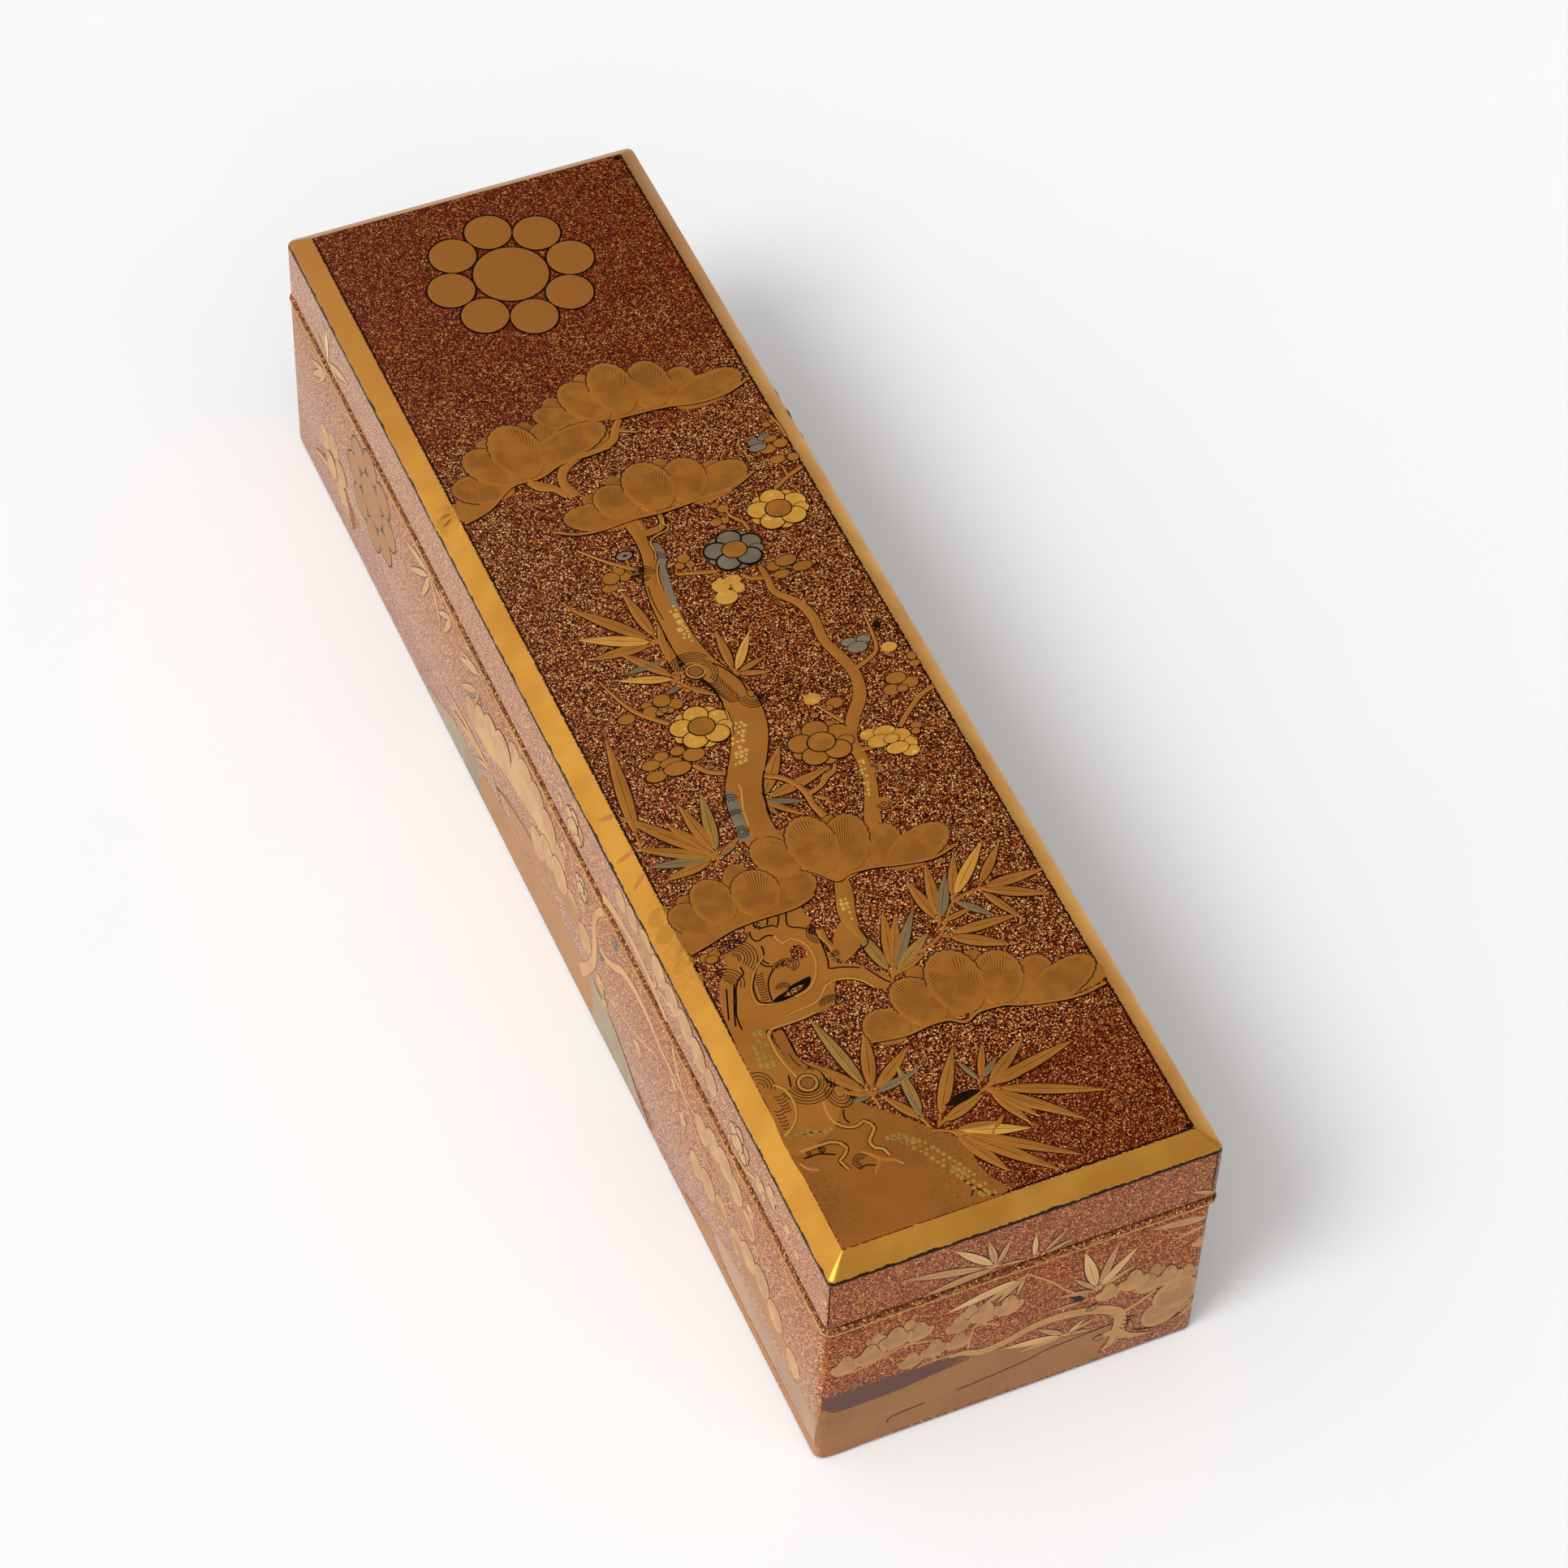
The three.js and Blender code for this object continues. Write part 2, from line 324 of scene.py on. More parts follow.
def flake_values(tree, place, size):
    """A random value for each gold flake of a size in millimetres."""
    warp = add_node(tree, "TexNoise", place, per_mm(size * 2.4), 1.0, 0.55)
    nudge = add_node(tree, "VectorMath", warp, (size * MM,) * 3, place, operation="MULTIPLY_ADD")
    cells = add_node(tree, "TexVoronoi", nudge, per_mm(size), feature="F1")
    return add_node(tree, "SeparateColor", cells.outputs["Color"])


def thin_patches_and_end_shade(tree, place):
    """1 toward both ends of the top, as painted shade for the light that falls off there, and in cloudy
    patches of thin sprinkling; 0 where flakes lie thick.
    """
    way_far = add_node(tree, "SeparateXYZ", place).outputs["Y"]
    cloud = add_node(tree, "TexNoise", place, per_mm(30), 3.0, 0.55)
    drift = add_node(tree, "Math", cloud, 0.5, operation="SUBTRACT")
    spot = add_node(tree, "Math", drift, 0.12, way_far, operation="MULTIPLY_ADD")
    far = add_node(tree, "MapRange", spot, far_end_shade[0] * MM, far_end_shade[1] * MM, 0.0, 0.9, **SOFT)
    near = add_node(tree, "MapRange", spot, near_end_shade[0] * MM, near_end_shade[1] * MM, 0.7, 0.0, **SOFT)
    return add_node(tree, "Math", near, far, operation="ADD", use_clamp=True)


def nashiji(name, stops, size=flake_size, thin=None, coat=1.0):
    """Gold flakes under amber lacquer. Thin stops colour the thinly sprinkled patches and the painted shade
    at the ends of the top.
    """
    material, tree, shader, place = new_material(name)
    value = flake_values(tree, place, size)
    colour = set_stops(add_node(tree, "ValToRGB", value), stops)
    if thin:
        sparse = set_stops(add_node(tree, "ValToRGB", value), thin)
        colour = add_node(tree, "Mix", thin_patches_and_end_shade(tree, place), colour, sparse, **COLOURS)
    grain = add_node(tree, "Bump", Height=value, Distance=0.02 * MM, Strength=0.5)
    feed_named(
        tree, shader, Base_Color=colour, Metallic=0.12, Roughness=0.45, Coat_Weight=coat,
        Coat_Roughness=0.09, Coat_IOR=1.5, Specular_IOR_Level=0.08, Normal=grain,
    )
    return material


top_flakes = [
    (0.0, "#0C0000"), (0.25, "#2A0602"), (0.5, "#5A1A04"), (0.72, "#8A380E"), (0.88, "#D2843A"),
    (1.0, "#FFDC98"),
]
# Darker, redder flakes for the thin patches and for the painted shade at the ends of the top.
thin_and_shaded_flakes = [
    (0.0, "#220602"), (0.3, "#4A1204"), (0.6, "#661C06"), (0.85, "#8A380C"), (1.0, "#D49248"),
]
# The long sides and the ends get lighter, pinker copies of the top's ground: painted light for the lamp and
# the reflections that fall on those faces.
side_flakes = [
    (0.0, "#441608"), (0.3, "#7C3A24"), (0.6, "#A86034"), (0.85, "#CE8C50"), (1.0, "#FAD08C"),
]
end_flakes = [
    (0.0, "#360A02"), (0.3, "#6C2810"), (0.6, "#8A3E18"), (0.85, "#B2682E"), (1.0, "#ECAC60"),
]
bead_flakes = [
    (0.0, "#300E06"), (0.3, "#5C2A14"), (0.6, "#824420"), (0.85, "#A86A34"), (1.0, "#D8A460"),
]
nashiji_top = nashiji("nashiji_amber_lacquer_top", top_flakes, thin=thin_and_shaded_flakes)
nashiji_side = nashiji("nashiji_amber_lacquer_long_side", side_flakes, coat=0.4)
nashiji_end = nashiji("nashiji_amber_lacquer_end", end_flakes, coat=0.2)
nashiji_bead = nashiji("nashiji_coarse_flakes_bead", bead_flakes, bead_flake_size, coat=0.2)
print("nashiji finishes:", nashiji_top.name, nashiji_side.name, nashiji_end.name, nashiji_bead.name)

# %% [markdown]
# ## Fundame: matt powdered gold
#
# The wide bevels are sprinkled so thickly with fine gold powder that they read as
# plain metal, then rubbed to a soft sheen. Broad cloudy tones, a very fine grain and
# small dark chips keep the surface from looking like plastic. Toward the far end the
# gold of the bevels is painted browner, a painted shade for the dimmer light there.

# %% Powdered gold
def gold_powder(name, base, deep, metallic=0.75, chips=0.0, far_shade=None):
    """Fine gold powder, rubbed smooth. The last colour is the painted shade of its far end."""
    material, tree, shader, place = new_material(name)
    cloud = add_node(tree, "TexNoise", place, per_mm(14), 3.0, 0.55)
    grain = add_node(tree, "TexNoise", place, per_mm(0.22), 2.0, 0.55)
    cloudy = add_node(tree, "MapRange", cloud, 0.3, 0.7, **SOFT)
    dusty = add_node(tree, "Math", grain, 0.18, operation="MULTIPLY")
    tone = add_node(tree, "Mix", cloudy, base, deep, **COLOURS)
    tone = add_node(tree, "Mix", dusty, tone, deep, **COLOURS)
    # Painted shade: the gold turns browner toward the far end.
    if far_shade:
        way_far = add_node(tree, "SeparateXYZ", place).outputs["Y"]
        far_shade_share = add_node(tree, "MapRange", way_far, 30 * MM, 130 * MM, 0.0, 0.9, **SOFT)
        tone = add_node(tree, "Mix", far_shade_share, tone, far_shade, **COLOURS)
    if chips:
        spots = add_node(tree, "TexVoronoi", place, per_mm(9), feature="F1").outputs["Distance"]
        crumbs = add_node(tree, "TexNoise", place, per_mm(0.8), 3.0, 0.55)
        ragged = add_node(tree, "Math", crumbs, 0.06, spots, operation="MULTIPLY_ADD")
        chip = add_node(tree, "MapRange", ragged, 0.055, 0.075, chips, 0.0, **SOFT)
        tone = add_node(tree, "Mix", chip, tone, "#5A2E14", **COLOURS)
    feed_named(
        tree, shader, Base_Color=tone, Metallic=metallic,
        Roughness=add_node(tree, "MapRange", cloud, 0.0, 1.0, 0.31, 0.43),
        Normal=add_node(tree, "Bump", Height=grain, Distance=0.012 * MM, Strength=0.5),
    )
    return material


# The last colour, #B87A34, is the bevels' painted shade at the far end.
gold_bevel = gold_powder("fundame_gold_powder_bevel", "#E8A844", "#D29036", 0.85, 0.7, "#B87A34")
gold_mouth = gold_powder("gold_powder_mouth_and_rim", "#D8A848", "#BE8A36")
print("gold finish:", gold_bevel.name, gold_mouth.name)

# %% [markdown]
# ## The worn arris
#
# Along the edge between the bevel and the skirt the gold has worn off, and a ragged
# line of black lacquer shows, about half a millimetre wide. The finishes that meet
# there get the same band, drawn by height with noisy borders, so that the line is
# whole although it lies on two boards.

# %% Black band along the lid's arris
worn_from = 53.25
worn_to = 53.85


def worn_band(material):
    """Shows black lacquer between two heights, ragged on both sides."""
    tree, shader, place, tone = reopened(material)
    height = add_node(tree, "SeparateXYZ", place).outputs["Z"]
    edges = []
    for level, size, ragged in ((worn_from, 5, 0.9), (worn_to, 2.5, 1.2)):
        wave = add_node(tree, "TexNoise", place, per_mm(size), 5.0, 0.7)
        shifted = add_node(tree, "Math", wave, ragged * MM, height, operation="MULTIPLY_ADD")
        middle = level + ragged / 2
        edge = add_node(tree, "MapRange", shifted, (middle - 0.05) * MM, (middle + 0.05) * MM, **SOFT)
        edges.append(edge)
    band = add_node(tree, "Math", *edges, operation="SUBTRACT", use_clamp=True)
    feed_named(tree, shader, Base_Color=add_node(tree, "Mix", band, tone, "#1C0C06", **COLOURS))


for finish in (gold_bevel, nashiji_side, nashiji_end):
    worn_band(finish)
print("worn arris from", worn_from, "to", worn_to, "mm above the table")

# %% [markdown]
# ## Mist on the short sides
#
# A band of dark mist lies over the slope at the left of each short side. It is only
# sprinkled, not drawn: toward its upper edge the dark grains thin out.

# %% Dark grains over the sprinkled gold
mist_foot = (12.5, 13.5)
mist_top = (16.5, 22)
mist_right = (-22, 2)


def sprinkle_mist(material):
    """Darkens the grains of the ends in a low band at the picture's left."""
    tree, shader, place, tone = reopened(material)
    parts = add_node(tree, "SeparateXYZ", place)
    facing = add_node(tree, "Math", parts.outputs["Y"], operation="SIGN")
    turned = add_node(tree, "Math", facing, -1.0, operation="MULTIPLY")
    across = add_node(tree, "Math", parts.outputs["X"], turned, operation="MULTIPLY")
    band = 1.0
    for value, (start, end), levels in (
        (parts.outputs["Z"], mist_foot, (0.0, 1.0)), (parts.outputs["Z"], mist_top, (1.0, 0.0)),
        (across, mist_right, (1.0, 0.0)),
    ):
        share = add_node(tree, "MapRange", value, start * MM, end * MM, *levels, **SOFT)
        band = add_node(tree, "Math", share, band, operation="MULTIPLY")
    grains = add_node(tree, "TexNoise", place, per_mm(0.4), 2.0, 0.55)
    dust = add_node(tree, "Math", grains, 1.2, band, operation="MULTIPLY_ADD")
    dark = add_node(tree, "MapRange", dust, 0.9, 1.2, **SOFT)
    feed_named(tree, shader, Base_Color=add_node(tree, "Mix", dark, tone, "#5C382C", **COLOURS))


sprinkle_mist(nashiji_end)
print("mist sprinkled on", nashiji_end.name)

# %% [markdown]
# ## Dark lacquer, black lines and bamboo
#
# The underside and the inside are plain dark lacquer. Drawn lines in the picture are
# the same black, left bare between areas of gold. The pegs that hold the boards are
# split bamboo with fibres along their length.

# %% Dark lacquer and bamboo
def plain_lacquer(name, base, deep, roughness=0.3, coat=0.6):
    """Smooth dark lacquer with faint clouds and dust-fine pits."""
    material, tree, shader, place = new_material(name)
    cloud = add_node(tree, "TexNoise", place, per_mm(18), 4.0, 0.55)
    pits = add_node(tree, "TexNoise", place, per_mm(0.6), 2.0, 0.55)
    cloudy = add_node(tree, "MapRange", cloud, 0.35, 0.65, **SOFT)
    feed_named(
        tree, shader, Base_Color=add_node(tree, "Mix", cloudy, base, deep, **COLOURS),
        Roughness=roughness, Coat_Weight=coat, Specular_IOR_Level=0.3 * coat, Coat_Roughness=0.15,
        Normal=add_node(tree, "Bump", Height=pits, Distance=0.01 * MM, Strength=0.4),
    )
    return material


def bamboo_fibres(name):
    """Split bamboo: pale fibres that run along Z, with darker sap lines."""
    material, tree, shader, place = new_material(name)
    stretched = add_node(tree, "Mapping", place, Scale=(1.0, 1.0, 0.05))
    fibres = add_node(tree, "TexNoise", stretched, per_mm(0.25), 3.0, 0.55)
    stops = [(0.3, "#8E6C38"), (0.5, "#C9AC74"), (0.75, "#E0C890")]
    feed_named(
        tree, shader, Base_Color=set_stops(add_node(tree, "ValToRGB", fibres), stops), Roughness=0.6,
        Normal=add_node(tree, "Bump", Height=fibres, Distance=0.05 * MM, Strength=0.4),
    )
    return material


dark_lacquer = plain_lacquer("dark_brown_lacquer", "#2A1712", "#1C0E0A")
black_line = plain_lacquer("black_lacquer_line", "#1E0E06", "#140804", 0.4, 0.15)
bamboo = bamboo_fibres("split_bamboo")
pale_mist = plain_lacquer("mist_pale_brown_lacquer", "#B08A6C", "#A07C60", 0.4, 0.2)
mist_green = plain_lacquer("mist_green_grey_lacquer", "#A08E70", "#86745A", 0.4, 0.2)
print("lacquer and bamboo ready")

# %% [markdown]
# ## Finishing a piece
#
# A finished piece is scaled from millimetres to metres in its mesh, so that its
# object stays at the origin. It then rides on its body and stands for its boards of
# the frame.

# %% From bench to scene
def finish_piece(obj, body, slot, *nodes, angle=35):
    """Scales a piece to metres, smooths it and hangs it on its body."""
    leave_edit()
    obj.data.transform(Matrix.Scale(MM, 4))
    select_only(obj)
    bpy.ops.object.shade_smooth_by_angle(angle=math.radians(angle))
    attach(obj, body)
    if nodes:
        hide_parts(*nodes)
    return obj


def coat_faces(obj, materials, choose):
    """Gives every face the material that choose(middle, normal) numbers."""
    obj.data.materials.clear()
    for material in materials:
        obj.data.materials.append(material)
    for face in obj.data.polygons:
        face.material_index = choose(face.center, face.normal)


print("pieces are finished by finish_piece")

# %% [markdown]
# ## The lid's top board
#
# One thick board is planed to a wide bevel on all four sides, and the bevels meet in
# sharp mitres. A block with rounded uprights is extruded upwards and drawn in to the
# panel. Drawing it in keeps the corners as round as the outside, so each corner arc
# is then shrunk about its own corner point, which makes the mitre taper to a point.

# %% Top board with its bevel
def build_top_board():
    low = (-lid_half.x, -lid_half.y, board_underside)
    board = block("lid_top_board_lacquered", low, (lid_half.x, lid_half.y, arris_height))
    round_uprights(board, lid_corner)
    pick(board, "FACE", lambda middle, normal: normal.z > 0.9)
    bpy.ops.mesh.extrude_region_move(TRANSFORM_OT_translate={"value": (0, 0, bevel_rise)})
    shrink = (panel_half.x / lid_half.x, panel_half.y / lid_half.y, 1)
    bpy.ops.transform.resize(value=shrink, center_override=(0, 0, 0))
    leave_edit()
    keep = panel_corner / lid_corner
    for side in (-1, 1):
        for end in (-1, 1):
            corner = (side * panel_half.x, end * panel_half.y, lid_top)
            pick(board, "VERT", lambda p, n: p.z > lid_top - 0.1 and p.x * side > 0 and p.y * end > 0)
            bpy.ops.transform.resize(value=(keep, keep, 1), center_override=corner)
            leave_edit()
    soften_rim(board, arris_height, arris_soften, 4)
    soften_rim(board, lid_top, panel_soften)
    pick(board, "FACE", lambda middle, normal: normal.z < -0.9)
    bpy.ops.mesh.extrude_region_move(TRANSFORM_OT_translate={"value": (0, 0, 0)})
    field = (1 - underside_step / lid_half.x, 1 - underside_step / lid_half.y, 1)
    bpy.ops.transform.resize(value=field, center_override=(0, 0, board_underside))
    drop = top_low.z - board_underside
    bpy.ops.mesh.extrude_region_move(TRANSFORM_OT_translate={"value": (0, 0, drop)})
    leave_edit()
    return board


def top_board_finish(middle, normal):
    """Panel, bevel or skirt finish, by where a face of the top board lies."""
    if normal.z > 0.97:
        return 0
    if normal.z > 0.45:
        return 1
    if normal.z < -0.5 or middle.z < board_underside - 0.05:
        return 3
    return 2 if abs(normal.x) > abs(normal.y) else 4


top_board = build_top_board()
top_coats = [nashiji_top, gold_bevel, nashiji_side, dark_lacquer, nashiji_end]
coat_faces(top_board, top_coats, top_board_finish)
finish_piece(top_board, "lid", "nashiji_top", "lid_top_board")
print("top board faces:", len(top_board.data.polygons))

# %% [markdown]
# ## The lid's skirt
#
# Four thin boards hang under the top. The long ones are housed to take the ends of
# the short ones, and a shadow groove runs round their foot. The whole frame is shaped
# first, outside and inside, and then divided into its four boards, so that their
# outer faces lie in one plane under the lacquer.

# %% Skirt boards
def end_region(half, thickness, side, bottom, top, middle):
    """The block that holds one end board, housed half into the long boards."""
    reach = half.x - thickness / 2
    inner = half.y - thickness
    outer = half.y + 1
    y = (-outer, -inner) if side < 0 else (inner, outer)
    return block("cutter", (middle - reach, y[0], bottom - 1), (middle + reach, y[1], top + 1))


def housed_boards(shell, half, thickness, bottom, top, names, middle=0.0):
    """Divides a frame into left, right, near and far boards."""
    boards = {}
    for word, side in (("near", -1), ("far", 1)):
        boards[word] = copy_of(shell, names % word)
        region = end_region(half, thickness, side, bottom, top, middle)
        carve(boards[word], region, "INTERSECT")
    for word, side in (("left", -1), ("right", 1)):
        boards[word] = copy_of(shell, names % word)
        cut_away(boards[word], (middle, 0, 0), (-side, 0, 0))
        for end in (-1, 1):
            carve(boards[word], end_region(half, thickness, end, bottom, top, middle))
    bpy.data.objects.remove(shell)
    return boards


def build_skirt():
    groove_top = bead_top + groove_height
    low = (-lid_half.x, -lid_half.y, groove_top)
    shell = block("skirt_shell", low, (lid_half.x, lid_half.y, board_underside))
    round_uprights(shell, lid_corner)
    pick(shell, "FACE", lambda middle, normal: normal.z < -0.9)
    bpy.ops.mesh.extrude_region_move(TRANSFORM_OT_translate={"value": (0, 0, 0)})
    draw_in = (1 - groove_depth / lid_half.x, 1 - groove_depth / lid_half.y, 1)
    bpy.ops.transform.resize(value=draw_in, center_override=(0, 0, groove_top))
    down = {"value": (0, 0, -groove_height)}
    bpy.ops.mesh.extrude_region_move(TRANSFORM_OT_translate=down)
    leave_edit()
    inner = lid_half - Vector((skirt_thickness, skirt_thickness))
    carve(shell, core(inner, bead_top - 1, board_underside + 1))
    return housed_boards(shell, lid_half, skirt_thickness, bead_top, board_underside, "lid_%s_skirt_board")


def outside_of(middle=0.0):
    """Tells whether a face looks outwards from a box that stands round a middle."""
    def test(centre, normal):
        away = (centre.x - middle) * normal.x + centre.y * normal.y
        return away > 0 and abs(normal.z) < 0.9
    return test


skirt_out = outside_of()


def skirt_finish(centre, normal):
    """Sprinkled lacquer outside, dark lacquer inside and in the groove."""
    if not skirt_out(centre, normal) or centre.z < bead_top + groove_height:
        return 1
    return 0 if abs(normal.x) > abs(normal.y) else 2


for word, board in build_skirt().items():
    coat_faces(board, [nashiji_side, dark_lacquer, nashiji_end], skirt_finish)
    finish_piece(board, "lid", "nashiji_side", f"lid_{word}_skirt")
print("skirt thickness", round(skirt_thickness, 2), "mm")

# %% [markdown]
# ## The bead at the lid's foot
#
# A half-round moulding stands a little proud of the skirt and hides the joint with
# the box. Its outer edges are bevelled in several segments to a round nose, and the
# ring is cut at the corners into four mitred strips, as a joiner would fit them.

# %% Bead strips
def mitred_strips(ring, half, thickness, names, middle=0.0):
    """Divides a ring into four strips that meet at 45 degrees."""
    strips = {}
    sides = {"left": (-1, 0), "right": (1, 0), "near": (0, -1), "far": (0, 1)}
    for word, (sx, sy) in sides.items():
        strip = copy_of(ring, names % word)
        cut_away(strip, (middle, 0, 0), (-sx, -sy, 0))
        for turn in (-1, 1):
            corner_x = sx if sx else turn
            corner_y = sy if sy else turn
            corner = (middle + corner_x * (half.x - thickness), corner_y * (half.y - thickness), 0)
            normal = Vector((corner_x, corner_y, 0)) - Vector((2 * sx * abs(sx), 2 * sy * abs(sy), 0))
            cut_away(strip, corner, normal)
        strips[word] = strip
    bpy.data.objects.remove(ring)
    return strips


def build_bead():
    half = Vector((-bead_low.x, -near_bead_low.y))
    ring = block("bead_ring", (-half.x, -half.y, bead_low.z), (half.x, half.y, bead_top))
    round_uprights(ring, bead_corner)
    nose = (bead_top - bead_low.z) / 2 - 0.02
    pick(ring, "EDGE", lambda middle, along: abs(along.z) < 0.1)
    bpy.ops.mesh.bevel(offset=nose, segments=4, affect="EDGES")
    leave_edit()
    thickness = half.x - (lid_half.x - skirt_thickness)
    inner = half - Vector((thickness, thickness))
    carve(ring, core(inner, bead_low.z - 1, bead_top + 1))
    return mitred_strips(ring, half, thickness, "lid_%s_bead_strip")


for word, strip in build_bead().items():
    coat_faces(strip, [nashiji_bead], lambda c, n: 0)
    finish_piece(strip, "lid", "nashiji_bead", f"lid_{word}_bead", angle=60)
print("bead from", round(bead_low.z, 2), "to", round(bead_top, 2), "mm")

# %% [markdown]
# ## The box walls and the raised inner rim
#
# The walls are thicker than the skirt, with a small softened foot and a gilded arris
# round the mouth. Inside the mouth stand four thin gilded strips that guide the lid.
# Both frames are shaped as one block, hollowed, and then divided like the skirt.

# %% Walls
rim_outer = Vector((box_middle - rim_low.x, -rim_low.y))
well_half = box_half - Vector((wall_thickness, wall_thickness))
floor_half = Vector((floor_high.x - box_middle, floor_high.y))


def build_walls():
    low = (box_middle - box_half.x, -box_half.y, 0)
    shell = block("wall_shell", low, (box_middle + box_half.x, box_half.y, rim_height))
    round_uprights(shell, box_corner)
    soften_rim(shell, 0, foot_arris)
    soften_rim(shell, rim_height, mouth_arris)
    carve(shell, core(well_half, -1, rim_height + 1, box_middle))
    carve(shell, core(rim_outer, rim_low.z, rim_height + 1, box_middle))
    carve(shell, core(floor_half, -1, floor_high.z, box_middle))
    return housed_boards(shell, box_half, wall_thickness, 0, rim_height, "box_%s_wall_board", box_middle)


walls_out = outside_of(box_middle)


def wall_finish(centre, normal):
    """Gold on the mouth's arris, sprinkled lacquer outside, dark lacquer inside."""
    if centre.z > rim_height - mouth_arris - 0.02 and normal.z > 0.1:
        return 1
    if not walls_out(centre, normal):
        return 2
    return 0 if abs(normal.x) > abs(normal.y) else 3


for word, board in build_walls().items():
    coat_faces(board, [nashiji_side, gold_mouth, dark_lacquer, nashiji_end], wall_finish)
    finish_piece(board, "box", "nashiji_side", f"box_{word}_wall")
print("walls", round(wall_thickness, 1), "mm thick,", round(rim_height, 1), "mm high")

# %% Inner rim and bottom board
def build_inner_rim():
    low = (box_middle - rim_outer.x, -rim_outer.y, rim_low.z)
    ring = block("rim_ring", low, (box_middle + rim_outer.x, rim_outer.y, rim_high.z))
    round_uprights(ring, rim_lead_in, 3)
    soften_rim(ring, rim_high.z, rim_lead_in * 0.8, 3)
    carve(ring, core(well_half, rim_low.z - 1, rim_high.z + 1, box_middle))
    thickness = rim_outer.x - well_half.x
    return mitred_strips(ring, rim_outer, thickness, "inner_rim_%s_strip", box_middle)


for word, strip in build_inner_rim().items():
    coat_faces(strip, [gold_mouth], lambda c, n: 0)
    finish_piece(strip, "box", "gold_ground", f"inner_rim_{word}")

bottom = block("box_bottom_lacquered", floor_low, floor_high)
pick(bottom, "EDGE", lambda middle, along: True)
bpy.ops.mesh.bevel(offset=floor_soften, segments=2, affect="EDGES")
leave_edit()
coat_faces(bottom, [dark_lacquer], lambda c, n: 0)
finish_piece(bottom, "box", "dark_lacquer", "box_bottom_board")

for name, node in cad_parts.items():
    if "peg" in name:
        node.data.materials.clear()
        node.data.materials.append(bamboo)
print("inner rim stands", round(rim_high.z - rim_height, 1), "mm above the walls")

# %% [markdown]
# ## Raised gold pictures, and how they are made
#
# On the real box each needle clump, leaf and petal is a low pillow of lacquer and
# charcoal powder, dusted with gold while it is wet. Here each shape is a thin domed
# sheet a few tenths of a millimetre high. The shapes that repeat (a pine clump, a
# bamboo leaf, a round petal, a square of cut gold) are modelled once as masters of
# unit size, and each copy is stretched to its place.
#
# The sheets of one branch or flower are joined. Then one extrusion, flattened to a
# plane a little below the lacquer, closes all of them at once into solid reliefs.

# %% Finishes of the raised pictures
def raised_gold(name, base, deep, metallic=0.55, roughness=0.42, grain_depth=0.02):
    """Gold dust on raised lacquer: warm clouds, worn spots and a dusty grain."""
    material, tree, shader, place = new_material(name)
    cloud = add_node(tree, "TexNoise", place, per_mm(9), 4.0, 0.55)
    grain = add_node(tree, "TexNoise", place, per_mm(0.28), 2.0, 0.55)
    cloudy = add_node(tree, "MapRange", cloud, 0.4, 0.75, 0.0, 0.6, **SOFT)
    dusty = add_node(tree, "Math", grain, 0.35, operation="MULTIPLY")
    tone = add_node(tree, "Mix", cloudy, base, deep, **COLOURS)
    tone = add_node(tree, "Mix", dusty, tone, deep, **COLOURS)
    feed_named(
        tree, shader, Base_Color=tone, Metallic=metallic, Roughness=roughness,
        Normal=add_node(tree, "Bump", Height=grain, Distance=grain_depth * MM, Strength=0.6),
    )
    return material


def radial_lines(tree, plane, count, near, far):
    """Lines that fan out from the motif's own origin; close to it they break to dots."""
    parts = add_node(tree, "SeparateXYZ", plane)
    angle = add_node(tree, "Math", parts.outputs["X"], parts.outputs["Y"], operation="ARCTAN2")
    turns = add_node(tree, "Math", angle, count, operation="MULTIPLY")
    wave = add_node(tree, "Math", turns, operation="SINE")
    reach = add_node(tree, "VectorMath", plane, operation="LENGTH")
    rounds = add_node(tree, "Math", reach, 90.0, operation="MULTIPLY")
    rings = add_node(tree, "Math", rounds, operation="SINE")
    spots = add_node(tree, "Math", wave, rings, operation="MULTIPLY")
    dots = add_node(tree, "MapRange", spots, 0.1, 0.5, **SOFT)
    begin = add_node(tree, "MapRange", reach, 0.4 * near, 0.8 * near, **SOFT)
    dots = add_node(tree, "Math", dots, begin, operation="MULTIPLY")
    lines = add_node(tree, "MapRange", wave, 0.3, 0.9, **SOFT)
    return add_node(tree, "Mix", add_node(tree, "MapRange", reach, near, far, **SOFT), dots, lines)


def fan_gold(name, base, deep, line, count, near, far, strength, metallic=0.55, short=True):
    """Gold with fine lines that fan out. Short ones, needles, stop before the edge."""
    material = raised_gold(name, base, deep, metallic)
    tree, shader, place, tone = reopened(material)
    plane = add_node(tree, "TexCoord").outputs["UV"]
    patchy = add_node(tree, "TexNoise", place, per_mm(3.5), 2.0, 0.55)
    worn = add_node(tree, "MapRange", patchy, 0.3, 0.6, 0.0, strength, **SOFT)
    drawn = radial_lines(tree, plane, count, near, far)
    lines = add_node(tree, "Math", drawn, worn, operation="MULTIPLY")
    if short:
        from_middle = add_node(tree, "VectorMath", plane, (0, 0.5, 0), operation="DISTANCE")
        inside = add_node(tree, "MapRange", from_middle, 0.37, 0.465, 1.0, 0.0, **SOFT)
        lines = add_node(tree, "Math", lines, inside, operation="MULTIPLY")
    feed_named(tree, shader, Base_Color=add_node(tree, "Mix", lines, tone, line, **COLOURS))
    return material


